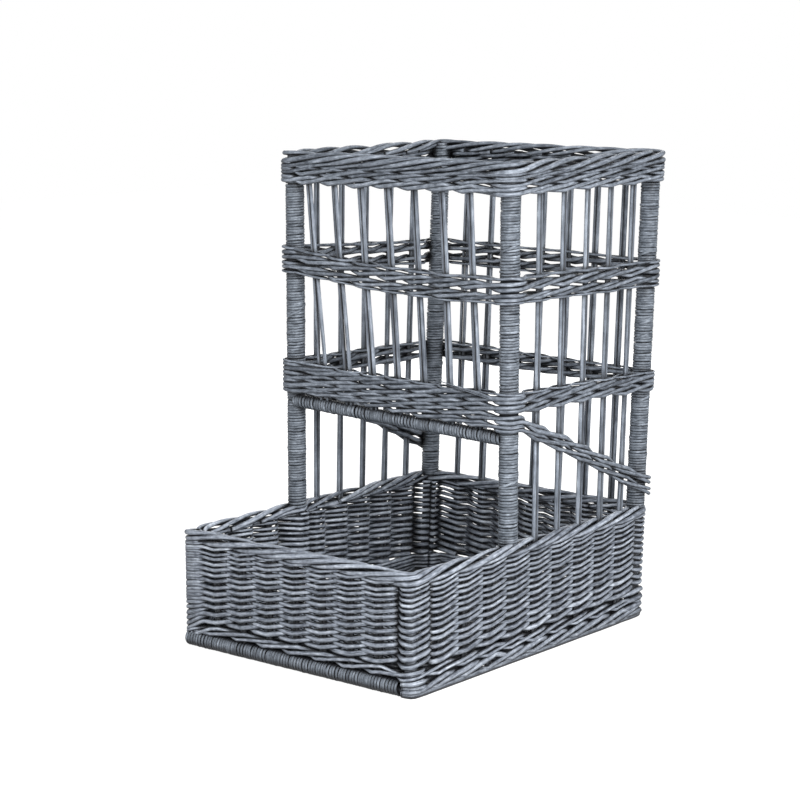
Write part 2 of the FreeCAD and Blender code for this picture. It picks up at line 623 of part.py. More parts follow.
os.makedirs("parts", exist_ok=True)
for obj in parts:
    obj.Shape.exportStep(f"parts/{obj.Label}.step")
    box = obj.Shape.BoundBox
    print(f"{obj.Label}: {len(obj.Shape.Solids)} solids, {obj.Shape.Volume / 1000:.1f} cm3, "
          f"z {box.ZMin:.1f} to {box.ZMax:.1f}")
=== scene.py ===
import logging
import math
from collections.abc import Callable
from dataclasses import dataclass
from enum import Enum

import bpy
import numpy as np
from mathutils import Matrix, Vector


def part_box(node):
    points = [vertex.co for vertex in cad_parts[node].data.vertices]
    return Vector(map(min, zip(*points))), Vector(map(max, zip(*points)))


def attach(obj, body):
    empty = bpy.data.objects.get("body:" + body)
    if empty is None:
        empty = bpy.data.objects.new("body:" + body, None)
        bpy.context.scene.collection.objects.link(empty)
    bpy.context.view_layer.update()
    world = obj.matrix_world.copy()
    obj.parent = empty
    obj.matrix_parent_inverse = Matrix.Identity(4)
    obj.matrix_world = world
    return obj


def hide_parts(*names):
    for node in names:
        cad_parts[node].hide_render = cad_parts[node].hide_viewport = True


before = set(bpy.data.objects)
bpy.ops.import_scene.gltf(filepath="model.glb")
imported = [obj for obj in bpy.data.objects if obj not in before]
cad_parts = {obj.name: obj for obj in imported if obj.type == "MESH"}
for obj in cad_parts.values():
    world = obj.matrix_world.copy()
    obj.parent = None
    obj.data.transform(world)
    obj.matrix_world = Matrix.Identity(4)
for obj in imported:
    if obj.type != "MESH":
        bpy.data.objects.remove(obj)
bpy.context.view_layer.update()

log = logging.getLogger("basket")

MM = 0.001  # metres in a millimetre, in which every size below is written
UP = np.array([0.0, 0.0, 1.0])
TURN = 2 * math.pi
TINY = 1e-9  # keeps a length of nothing from dividing by zero
POINTS = 3  # points of a weaver at each upright, corners too
FIRST, SECOND = 6, 7  # sockets of a Mix node for two colours
COLOURS = {"output": 2, "data_type": "RGBA"}  # its output and its setting for them
Array = np.ndarray
Span = tuple[float, float]
Spot = tuple[float, float, float]
Socket = bpy.types.NodeSocket
Tree = bpy.types.NodeTree
Heights = Callable[[Array, Array], Array]  # height of a round over places of the plan


class Slot(Enum):
    """Willow's material slots in the part's record."""

    POST = "willow_post"
    STAKE = "willow_stake"
    WEAVE = "willow_weave"
    WRAP = "willow_wrap"


class Turn(Enum):
    """How a weaver meets a place: at a corner it arrives, goes over the diagonal and leaves."""

    ARRIVE = -1
    DIAGONAL = 0
    LEAVE = 1
    NONE = 2


class Face(Enum):
    """Walls of the basket by the direction in which they face."""

    FRONT = (0.0, -1.0)
    RIGHT = (1.0, 0.0)
    REAR = (0.0, 1.0)
    LEFT = (-1.0, 0.0)


class Grain(Enum):
    """Where a finish finds the run of the grain: on each rod, or along one axis of the part."""

    ROD = "grain"
    ALONG_X = 0
    ALONG_Y = 1
    ALONG_Z = 2


def linear(code: str) -> tuple[float, ...]:
    """Linear RGBA of an sRGB hex colour.

    Args:
        code: six hex digits after a hash.

    Returns:
        Each channel c as ((c + 0.055) / 1.055) ** 2.4, or c / 12.92 near black, and an alpha of 1.
    """
    channels = [int(code[i : i + 2], 16) / 255 for i in (1, 3, 5)]
    return (*(((c + 0.055) / 1.055) ** 2.4 if c > 0.04045 else c / 12.92 for c in channels), 1.0)


def grey(value: float) -> tuple[float, ...]:
    """Linear RGBA of a plain grey."""
    return (value, value, value, 1.0)


def new_material(name: str) -> tuple[bpy.types.Material, Tree]:
    """Makes a material.

    Args:
        name: its name.

    Returns:
        The material and its tree, which holds the standard shader.
    """
    material = bpy.data.materials.new(name)
    material.use_nodes = True
    return material, material.node_tree


def add_object(name: str, data: bpy.types.ID) -> bpy.types.Object:
    """Puts a mesh, a lamp or a camera into the scene.

    Args:
        name: the object's name.
        data: what it shows.

    Returns:
        The object, at the origin and unturned.
    """
    thing = bpy.data.objects.new(name, data)
    bpy.context.scene.collection.objects.link(thing)
    return thing


def add_node(
    tree: Tree, kind: str, inputs: dict | None = None, output: int | str = 0, **settings: object
) -> Socket | None:
    """Adds a node to a tree.

    Args:
        tree: the tree that gets the node.
        kind: the node's type name after its common beginning.
        inputs: values for the node's sockets, by name or number; a socket as value is linked.
        output: the output that is wanted, by name or number.
        settings: the node's own properties.

    Returns:
        The output, or None for a node that has no outputs.
    """
    node = tree.nodes.new("ShaderNode" + kind)
    for name, value in settings.items():
        setattr(node, name, value)
    for key, value in (inputs or {}).items():
        if isinstance(value, Socket):
            tree.links.new(value, node.inputs[key])
        else:
            node.inputs[key].default_value = value
    return node.outputs[output] if node.outputs else None


@dataclass(frozen=True)
class Willow:
    """Peeled willow, brushed with a thin grey-blue stain and rubbed while wet.

    The eye sees matt rods with fine darker streaks along them, pale where the stain was rubbed thin.
    Painted shade goes over it: nearly black in crevices, on undersides and on sides facing a partner rod.
    """

    name: str
    slot: Slot
    # painted shade: near-black colour mixed in by ambient occlusion and on shaded sides
    painted_shade: str = "#0B0D12"
    deep: str = "#4E545E"
    body: str = "#828994"
    rubbed: str = "#C1C9D4"
    grain_width: float = 1.7  # real grain is finer; this is as coarse as it needs to be to show
    grain_length: float = 16.0
    patch_size: float = 9.0
    streak_share: float = 1.6
    patch_share: float = 0.9
    tone_share: float = 0.09
    shade_shift: float = -0.82
    stained_span: Span = (0.1, 0.5)
    rubbed_span: Span = (0.45, 1.0)
    # painted shade by ambient occlusion: reach in mm, rays, and the occlusion span over which it fades
    occlusion_shade_reach: float = 25.0
    occlusion_shade_rays: int = 6
    occlusion_shade_span: Span = (0.5, 0.96)
    # how far painted shade on a rod's shaded side goes towards near black
    side_shade_strength: float = 0.85
    relief: float = 0.5
    relief_strength: float = 0.5
    roughness: Span = (0.5, 0.74)
    specular: float = 0.4

    def material(self, grain: Grain = Grain.ROD) -> bpy.types.Material:
        """The finish as a material.

        Shade = shift + streak, patch and tone, each times its share. With it the colour goes from deep over
        body to rubbed. Painted shade then mixes it towards near black in crevices and on shaded sides.

        Args:
            grain: where the streaks run.

        Returns:
            A material whose colour follows streaks along the grain, a patchy rub and the rod's own tone.
        """
        material, tree = new_material(f"{self.name}_{grain.name.lower()}")
        objects = add_node(tree, "TexCoord", output="Object")
        place = add_node(tree, "VectorMath", {0: objects, "Scale": 1 / MM}, operation="SCALE")
        stretch = [1 / self.grain_width] * 3
        if grain is Grain.ROD:
            run = add_node(tree, "Attribute", output="Vector", attribute_name=grain.value)
            stretch[2] = 1 / self.grain_length
        else:
            run = place
            stretch[grain.value] = 1 / self.grain_length
        along = add_node(tree, "VectorMath", {0: run, 1: stretch}, operation="MULTIPLY")
        noise = {"Vector": along, "Scale": 1.0, "Detail": 3.0, "Roughness": 0.65}
        streak = add_node(tree, "TexNoise", noise)
        noise = {"Vector": place, "Scale": 1 / self.patch_size, "Detail": 4.0, "Roughness": 0.6}
        patch = add_node(tree, "TexNoise", noise)
        tone, ran = (
            add_node(tree, "Attribute", output="Fac", attribute_name=name) for name in ("tone", "painted_shade")
        )
        shade = self.shade_shift
        shares = (streak, self.streak_share), (patch, self.patch_share), (tone, self.tone_share)
        for value, share in shares:
            shade = add_node(tree, "Math", {0: value, 1: share, 2: shade}, operation="MULTIPLY_ADD")
        colour = linear(self.deep)
        for (low, high), shown in ((self.stained_span, self.body), (self.rubbed_span, self.rubbed)):
            shades = {"Value": shade, "From Min": low, "From Max": high}
            factor = add_node(tree, "MapRange", shades, interpolation_type="SMOOTHSTEP")
            colour = add_node(tree, "Mix", {0: factor, FIRST: colour, SECOND: linear(shown)}, **COLOURS)
        # Painted shade: ambient occlusion, and the attribute for shaded sides, mix the colour towards near
        # black.
        distance = {"Distance": self.occlusion_shade_reach * MM}
        nearby = add_node(tree, "AmbientOcclusion", distance, "AO", samples=self.occlusion_shade_rays)
        low, high = self.occlusion_shade_span
        open_air = add_node(tree, "MapRange", {"Value": nearby, "From Min": low, "From Max": high})
        side_unshaded = add_node(tree, "Math", {0: ran, 1: -self.side_shade_strength, 2: 1.0}, operation="MULTIPLY_ADD")
        clear = add_node(tree, "Math", {0: open_air, 1: side_unshaded}, operation="MULTIPLY")
        colour = add_node(tree, "Mix", {0: clear, FIRST: linear(self.painted_shade), SECOND: colour}, **COLOURS)
        low, high = self.roughness
        rough = add_node(tree, "MapRange", {"Value": streak, "To Min": low, "To Max": high})
        relief = {"Height": streak, "Strength": self.relief_strength, "Distance": self.relief * MM}
        bump = add_node(tree, "Bump", relief)
        shader = tree.nodes["Principled BSDF"]
        shader.inputs["Specular IOR Level"].default_value = self.specular
        for name, value in (("Base Color", colour), ("Roughness", rough), ("Normal", bump)):
            tree.links.new(value, shader.inputs[name])
        return material


@dataclass(frozen=True)
class DrawnSteel:
    """Drawn steel wire, cut into nails: grey metal, finely mottled by the drawing."""

    name: str = "drawn_steel"
    bright: str = "#B4B6B8"
    dull: str = "#7E8082"
    mark_width: float = 0.3
    roughness: float = 0.38

    def material(self) -> bpy.types.Material:
        """The finish as a material.

        Returns:
            A material that is mottled in two greys.
        """
        material, tree = new_material(self.name)
        objects = add_node(tree, "TexCoord", output="Object")
        marks = add_node(tree, "TexNoise", {"Vector": objects, "Scale": 1 / (self.mark_width * MM)})
        shader = tree.nodes["Principled BSDF"]
        shader.inputs["Metallic"].default_value = 1.0
        shader.inputs["Roughness"].default_value = self.roughness
        greys = {0: marks, FIRST: linear(self.dull), SECOND: linear(self.bright)}
        tree.links.new(add_node(tree, "Mix", greys, **COLOURS), shader.inputs["Base Color"])
        return material


WEAVE = Willow("stained_willow_weave", Slot.WEAVE)
STAKE = Willow(
    "stained_willow_stake", Slot.STAKE, deep="#383E47", body="#656C76", rubbed="#9CA4AF",
    grain_length=45.0, patch_size=25.0,
)
BAND = Willow("stained_willow_band", Slot.WEAVE, deep="#3F454E", body="#6C737D", rubbed="#A6AEBA")
WRAP = Willow(
    "stained_willow_skein", Slot.WRAP, deep="#3A4048", body="#626972", rubbed="#969EA9", grain_length=9.0
)
POST = Willow("stained_willow_post", Slot.POST, grain_length=50.0)
STEEL = DrawnSteel()


def node_box(node: str) -> Array:
    """Lowest and highest corner of a node of the frame, in millimetres."""
    return np.array(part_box(node)) / MM


def unit(vectors: Array) -> Array:
    """Vectors of the same directions, each one long."""
    return vectors / (np.linalg.norm(vectors, axis=-1, keepdims=True) + TINY)


def smooth(controls: Array, steps: int, bend: float = 1.0) -> Array:
    """Smooth curves through rows of points.

    Cubic Hermite spans; the slope at a point is the mean of the slopes of its two chords, each
    weighted by its length, so long runs stay straight and the short spans between them take the bend.

    Args:
        controls: points of each curve, (curves, points, 3).
        steps: pieces that each span is cut into.
        bend: how much of the slope counts; the less, the sharper the bends and the straighter the spans.

    Returns:
        Points along the curves, (curves, (points - 1) * steps + 1, 3).
    """
    chord = np.diff(controls, axis=1)
    length = np.linalg.norm(chord, axis=2, keepdims=True) + TINY
    slope = chord / length
    inner = (chord[:, :-1] + chord[:, 1:]) / (length[:, :-1] + length[:, 1:])
    slopes = np.concatenate([slope[:, :1], inner, slope[:, -1:]], axis=1)
    t = np.linspace(0, 1, steps, endpoint=False)[None, None, :, None]
    start, end = controls[:, :-1, None], controls[:, 1:, None]
    leave, arrive = (bend * s * length[:, :, None] for s in (slopes[:, :-1, None], slopes[:, 1:, None]))
    spans = (
        (2 * t**3 - 3 * t**2 + 1) * start
        + (t**3 - 2 * t**2 + t) * leave
        + (3 * t**2 - 2 * t**3) * end
        + (t**3 - t**2) * arrive
    )
    rows = spans.reshape(len(controls), -1, 3)
    return np.concatenate([rows, controls[:, -1:]], axis=1)


@dataclass
class Rods:
    """Rods swept along paths and gathered into one piece."""

    name: str
    finish: Willow
    seed: int
    total: int = 0
    grain_range: float = 1000.0
    knot_points: int = 10

    def __post_init__(self) -> None:
        """Starts the piece's own row of random numbers, and its lists of what each sweep adds."""
        self.rng = np.random.default_rng(self.seed)
        self.points, self.quads, self.ends, self.grains, self.tones, self.painted_side_shades = ([] for _ in range(6))

    def add(
        self, paths: Array, radii: Array, sides: int = 8, up: Array = UP, width: float = 1.0,
        tone: Array | None = None, ran: Array = -UP,
    ) -> None:
        """Sweeps a circle, or an ellipse, along each path and closes both ends.

        Point = path + radius * (width * cos a * across + sin a * lift): across is square to the path and
        to the up direction, lift is square to both, and a runs once round.

        Args:
            paths: points of each rod, (rods, points, 3).
            radii: radius at each point, (rods, points).
            sides: points round the rod.
            up: direction that the rod's lift follows, one for all or one for each point.
            width: how much wider than thick the rod is.
            tone: lighter or darker stain at each point; one at random for each rod if none is given.
            ran: the side that gets painted shade, by the square of the cosine to this direction.
        """
        count, length = paths.shape[:2]
        tangent = unit(np.gradient(paths, axis=1))
        across = unit(np.cross(tangent, np.broadcast_to(up, paths.shape)))
        lift = np.cross(across, tangent)
        angle = np.arange(sides) * TURN / sides
        cosine, sine = np.cos(angle)[:, None], np.sin(angle)[:, None]
        size = radii[:, :, None, None]
        rim = width * cosine * across[:, :, None] + sine * lift[:, :, None]
        self.points.append((paths[:, :, None] + size * rim).reshape(-1, 3))

        stride = np.linalg.norm(np.diff(paths, axis=1), axis=2)
        along = np.concatenate([np.zeros((count, 1)), np.cumsum(stride, axis=1)], axis=1)
        start = self.rng.uniform(0, self.grain_range, (count, 1, 1))
        round_x = size[..., 0] * width * cosine[:, 0] + start
        round_y = size[..., 0] * sine[:, 0] + 0 * start
        run = np.broadcast_to((along + start[..., 0])[:, :, None], round_x.shape)
        self.grains.append(np.stack([round_x, round_y, run], axis=-1).reshape(-1, 3))
        if tone is None:
            tone = self.rng.normal(0, 1, (count, 1))
        self.tones.append(np.broadcast_to(tone[..., None], (count, length, sides)).ravel())
        # Painted shade: the square of how much each point faces the shaded side, kept as an attribute.
        facing = unit(cosine / width * across[:, :, None] + sine * lift[:, :, None])
        towards = (facing * np.broadcast_to(ran, paths.shape)[:, :, None]).sum(axis=3)
        self.painted_side_shades.append((np.clip(towards, 0, 1) ** 2).ravel())

        index = self.total + np.arange(count * length * sides).reshape(count, length, sides)
        near, far = index[:, :-1], index[:, 1:]
        quad = [near, far, np.roll(far, -1, axis=2), np.roll(near, -1, axis=2)]
        self.quads.append(np.stack(quad, axis=-1).reshape(-1, 4))
        self.ends.append(np.concatenate([index[:, 0], index[:, -1, ::-1]]))
        self.total += count * length * sides

    def lay(
        self, paths: Array, radius: Array | float, sides: int = 8, taper: float = 0.2,
        waver: float = 0.06, **sweep: Array | float,
    ) -> None:
        """Adds rods that thin out evenly from butt to tip and swell a little here and there.

        Args:
            paths: points of each rod, (rods, points, 3).
            radius: mean radius, one for all rods or one each.
            sides: points round the rod.
            taper: how much thinner the tip is than the butt, as a share.
            waver: how much the radius changes from knot to knot, as a share.
            sweep: what else the sweep takes.
        """
        count, points = paths.shape[:2]
        spot = np.arange(points) / self.knot_points
        low = spot.astype(int)
        knots = self.rng.normal(0, waver, (count, int(low[-1]) + 2))
        swing = knots[:, low] * (1 - spot + low) + knots[:, low + 1] * (spot - low)
        fall = 1 + taper * (0.5 - np.linspace(0, 1, points))
        self.add(paths, np.reshape(radius, (-1, 1)) * (fall + swing), sides, **sweep)

    def piece(self, *nodes: str) -> None:
        """Puts the rods into one mesh that stands for nodes of the frame.

        Args:
            nodes: the nodes that it replaces.
        """
        mesh = bpy.data.meshes.new(self.name)
        points = np.concatenate(self.points) * MM
        quads = np.concatenate(self.quads)
        corners = np.concatenate([quads.ravel(), *(end.ravel() for end in self.ends)])
        sizes = np.concatenate([np.full(len(quads), 4), *(np.full(len(e), e.shape[1]) for e in self.ends)])
        mesh.vertices.add(len(points))
        mesh.vertices.foreach_set("co", points.ravel())
        mesh.loops.add(len(corners))
        mesh.loops.foreach_set("vertex_index", corners)
        mesh.polygons.add(len(sizes))
        mesh.polygons.foreach_set("loop_start", np.cumsum(sizes) - sizes)
        mesh.polygons.foreach_set("use_smooth", sizes == 4)
        mesh.update(calc_edges=True)
        grain = mesh.attributes.new(Grain.ROD.value, "FLOAT_VECTOR", "POINT")
        grain.data.foreach_set("vector", np.concatenate(self.grains).ravel())
        # tone is the stain's own; the second attribute is painted shade on one side of each rod.
        for name, values in (("tone", self.tones), ("painted_shade", self.painted_side_shades)):
            mesh.attributes.new(name, "FLOAT", "POINT").data.foreach_set("value", np.concatenate(values))
        mesh.materials.append(self.finish.material())
        piece = add_object(self.name, mesh)
        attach(piece, "root")
        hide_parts(*nodes)
        triangles = int((sizes - 2).sum())
        log.info("%s: %d triangles, stands for %s", self.name, triangles, ", ".join(nodes))


@dataclass(frozen=True)
class Post:
    """A post of the wall: its axis on the ground, its backward lean and its depth behind the outer face."""

    x: float
    y: float
    lean: float
    reach: float

    def on_line(self, face: Face, inset: float) -> Array:
        """The point of a wall's stake line beside this post."""
        return np.array([self.x, self.y]) + np.array(face.value) * (self.reach - inset)


@dataclass(frozen=True)
class Ease:
    """How far a weaver runs straight before and behind an upright.

    It differs outside an upright, inside it, on the side of an inner pass where a corner comes next or lies
    behind, and before and behind a corner. An outer pass is longer behind the upright by twice the skew.
    """

    outside: float
    inside: float
    to_corner: float
    from_corner: float
    arrive: float
    leave: float
    skew: float = 0.0


@dataclass
class Uprights:
    """Places where a weaver passes an upright, in order round the basket to the right of the front.

    A corner post has three places, one for each wall and one on the diagonal. The swell is how far the
    weavers stand out of the wall's faces on both sides.
    """

    foot: Array
    lean: Array
    normal: Array
    reach: Array
    back: Array
    number: Array
    order: Array
    turn: Array
    inset: float
    swell: float = 0.9
    inner_corner: float = 1.25

    @classmethod
    def ring(cls, posts: list[Post], faces: list[Face], counts: list[int], inset: float) -> "Uprights":
        """Shares out stakes between the posts of a closed ring.

        Args:
            posts: the posts in order.
            faces: the wall that starts at each post.
            counts: stakes between each post and the next.
            inset: outer face of a wall to its stake line.

        Returns:
            The places round the ring; order counts the stakes of a wall from 1 and is 0 at a post.
        """
        rows = []
        number = 0
        for i, (post, face, count) in enumerate(zip(posts, faces, counts)):
            before, after = np.array(faces[i - 1].value), np.array(face.value)
            diagonal = (before + after) / math.sqrt(2)
            turns = [(before, Turn.ARRIVE), (diagonal, Turn.DIAGONAL), (after, Turn.LEAVE)]
            if faces[i - 1] is face:
                turns = [(after, Turn.NONE)]
            for normal, turn in turns:
                rows.append((post.x, post.y, post.lean, *normal, post.reach, number, 0, turn.value))
            other = posts[(i + 1) % len(posts)]
            start, end = post.on_line(face, inset), other.on_line(face, inset)
            for k in range(1, count + 1):
                share = k / (count + 1)
                x, y = start + share * (end - start)
                lean = post.lean + share * (other.lean - post.lean)
                rows.append((x, y, lean, *after, inset, number + k, k, Turn.NONE.value))
            number += count + 1
        x, y, lean, normal_x, normal_y, reach, *labels = np.array(rows).T
        number, order, turn = (label.astype(int) for label in labels)
        foot, slope = np.stack([x, y], axis=1), np.stack([0 * lean, lean], axis=1)
        normal = np.stack([normal_x, normal_y], axis=1)
        back = np.where(order > 0, inset, reach)
        return cls(foot, slope, normal, reach, back, number, order, turn, inset)

    def on(self, face: Face) -> Array:
        """Marks the stakes of one wall."""
        return (self.order > 0) & (self.normal == np.array(face.value)).all(axis=1)

    def axis(self, level: Array) -> Array:
        """Middle of each upright at a level, (..., places, 2)."""
        return self.foot + self.lean * np.asarray(level)[..., None]

    def stations(self) -> Array:
        """The place that each of a weaver's points belongs to."""
        return np.repeat(np.arange(len(self.turn)), np.where(self.turn == Turn.NONE.value, POINTS, 1))

    def passes(
        self, side: Array, radius: Array | float, level: Heights, offset: Array,
        climb: Array | float, ease: Ease, kink: float = 0.0,
    ) -> Array:
        """Points of weavers that pass outside or inside the uprights.

        Point = axis + normal * side * (depth + swell - radius) + along the wall * ease, where depth is the
        upright's reach outside and its back inside. Each upright has a point in its middle and on both
        sides, so that the weaver runs straight past it and crosses the wall quickly; a corner has three.
        Its height is the round's own there + offset + climb * ease + kink * |ease| outside.

        Args:
            side: 1 outside and -1 inside, (weavers, places).
            radius: the weavers' radius.
            level: height of the round over each place of the plan.
            offset: height of each pass over the round's own, (weavers, places).
            climb: rise of each pass for a step along the wall.
            ease: how far the weavers run straight.
            kink: rise on both sides of an upright that is passed outside, for a step along the wall.

        Returns:
            Points, (weavers, points, 3).
        """
        depth = np.where(side > 0, self.reach, self.back) + self.swell - radius
        depth = depth * np.where((side < 0) & (self.turn == Turn.DIAGONAL.value), self.inner_corner, 1.0)
        middle = level(*self.foot.T)
        plan = self.axis(middle + offset) + self.normal * (side * depth)[..., None]
        index = self.stations()
        shift = self.turn[index].astype(float)
        single = self.turn[index] == Turn.NONE.value
        shift[single] = np.tile([-1.0, 0.0, 1.0], int(single.sum()) // POINTS)
        corner = self.turn != Turn.NONE.value
        ahead = np.where(shift > 0, np.roll(corner, -1)[index], np.roll(corner, 1)[index])
        inner = np.where(ahead, np.where(shift > 0, ease.to_corner, ease.from_corner), ease.inside)
        at_corner = np.where(shift > 0, ease.leave, ease.arrive) + np.where(side > 0, 0.0, depth)[:, index]
        outer = ease.outside + ease.skew * shift
        shift = shift * np.where(corner[index], at_corner, np.where(side[:, index] > 0, outer, inner))
        wall = np.stack([-self.normal[:, 1], self.normal[:, 0]], axis=1)
        plan = plan[:, index] + wall[index] * shift[..., None]
        rise = np.broadcast_to(climb, offset.shape)[:, index] * shift
        rise = rise + kink * np.abs(shift) * ((side[:, index] > 0) & (single | (shift > 0)))
        height = level(plan[..., 0], plan[..., 1]) + offset[:, index] + rise
        return np.concatenate([plan, height[..., None]], axis=2)


@dataclass
class Layout:
    """Main places of the basket, read from the frame."""

    bin_counts: tuple[int, ...] = (7, 3, 5, 7, 5, 3)
    tower_counts: tuple[int, ...] = (7, 5, 7, 5)
    sway_levels: Span = (380.0, 633.0)
    sway_foot: Span = (9.0, 0.0)
    sway_top: float = -14.0
    tilt_height: float = 13.0
    wrap: float = 3.2
    band_rod: float = 6.0

    def __post_init__(self) -> None:
        """Works out walls, posts and both rings of uprights."""
        weave, wale, band = node_box("bin_weave"), node_box("bottom_wale"), node_box("top_band")
        stakes = node_box("bin_front_stakes")
        post, corner = node_box("front_right_post"), node_box("bin_right_corner_post").mean(axis=0)
        self.side = weave[1, 0]
        self.front = weave[0, 1]
        self.lean = (band[1, 1] - wale[1, 1]) / (band[1, 2] - wale[1, 2])
        self.rear = wale[1, 1] - self.lean * wale[1, 2]
        self.inset = stakes[:, 1].mean() - self.front
        self.stake_radius = (stakes[1, 1] - stakes[0, 1]) / 2
        self.post_x, self.post_y = post[:, 0].mean(), post[:, 1].mean()
        self.post_radius = (post[1, 0] - post[0, 0]) / 2
        self.post_reach = self.side - self.post_x
        self.rear_post_y = self.rear - self.post_reach
        self.tilt = self.tilt_height / (2 * self.side)
        places = (corner[0], corner[1], 0.0), (self.post_x, self.post_y, 0.0)
        places += ((self.post_x, self.rear_post_y, self.lean),)
        corners, fronts, rears = (
            [Post(sign * x, y, lean, self.side - x) for sign in (-1, 1)] for x, y, lean in places
        )
        wound = self.post_radius + self.wrap + self.band_rod
        bin_posts = [*corners, fronts[1], *rears[::-1], fronts[0]]
        bin_faces = [Face.FRONT, Face.RIGHT, Face.RIGHT, Face.REAR, Face.LEFT, Face.LEFT]
        self.bin = Uprights.ring(bin_posts, bin_faces, self.bin_counts, self.inset)
        self.tower = Uprights.ring([*fronts, *rears[::-1]], list(Face), self.tower_counts, self.inset)
        self.tower.reach[self.tower.order == 0] = wound - self.tower.swell
        sway = self.tower.on(Face.FRONT)
        low, high = self.sway_levels
        foot = np.linspace(*self.sway_foot, int(sway.sum()))
        slope = (self.sway_top - foot) / (high - low)
        self.tower.lean[sway, 0] = slope
        self.tower.foot[sway, 0] += foot - slope * low

    def shares(self, x: Array, y: Array) -> tuple[Array, Array]:
        """Share of the way from the left posts to the right ones, and from the front posts to the rear."""
        right = np.clip((x / self.post_x + 1) / 2, 0, 1)
        return right, np.clip((y - self.post_y) / (self.rear_post_y - self.post_y), 0, 1)


@dataclass(frozen=True)
class Wale:
    """One round of wale: each rod passes outside some uprights and inside one, a step after its neighbour.

    The level is the height of the round's middle in its band.
    """

    level: float
    radius: float
    rise: float
    phase: int = 0
    outside: int = 2
    ease: Ease = Ease(9.0, 9.0, 22.0, 22.0, 6.0, 6.0)
    unevenness: float = 0.7
    spacing: float = 48.0
    tucked: float = 0.78
    inner_climb: float = -0.5
    radius_range: Span = (0.86, 1.12)

    def controls(
        self, uprights: Uprights, level: Heights, rng: np.random.Generator
    ) -> tuple[Array, Array]:
        """Points of the round's rods round the whole ring.

        A rod comes out low and goes in high, so its strands rise to the right by the round's rise. At a
        corner the rod that would be inside lies behind the others.

        Args:
            uprights: the ring.
            level: middle height of the round over the plan.
            rng: source of small differences.

        Returns:
            Points, (rods, points, 3), and the radius of each rod.
        """
        rods = self.outside + 1
        step = (uprights.number + self.phase - np.arange(rods)[:, None]) % rods
        inside = (step == self.outside) & (uprights.order > 0)
        share = np.where(step == self.outside, 0.0, step / max(self.outside - 1, 1) - 0.5)
        offset = self.rise * share + rng.normal(0, self.unevenness, step.shape)
        climb = self.rise / self.spacing * np.where(inside, self.inner_climb, 1.0)
        side = np.where(inside, -1.0, np.where(step == self.outside, self.tucked, 1.0))
        radius = self.radius * rng.uniform(*self.radius_range, rods)
        return uprights.passes(side, radius[:, None], level, offset, climb, self.ease), radius


def flat(level: float) -> Heights:
    """A round that keeps one level all round."""
    return lambda x, y: np.full(np.shape(x), level)


def closed(controls: Array, start: int, step: int = 0) -> Array:
    """Rows of points opened at one place and carried on until they come back to it.

    Args:
        controls: points of each closed row, (rows, points, 3).
        start: the point at which the first row is opened.
        step: how many points later each next row is opened.

    Returns:
        The opened rows, (rows, points + 1, 3).
    """
    rows, points = controls.shape[:2]
    index = (start + step * np.arange(rows)[:, None] + np.arange(points + 1)) % points
    return np.take_along_axis(controls, index[..., None], axis=1)


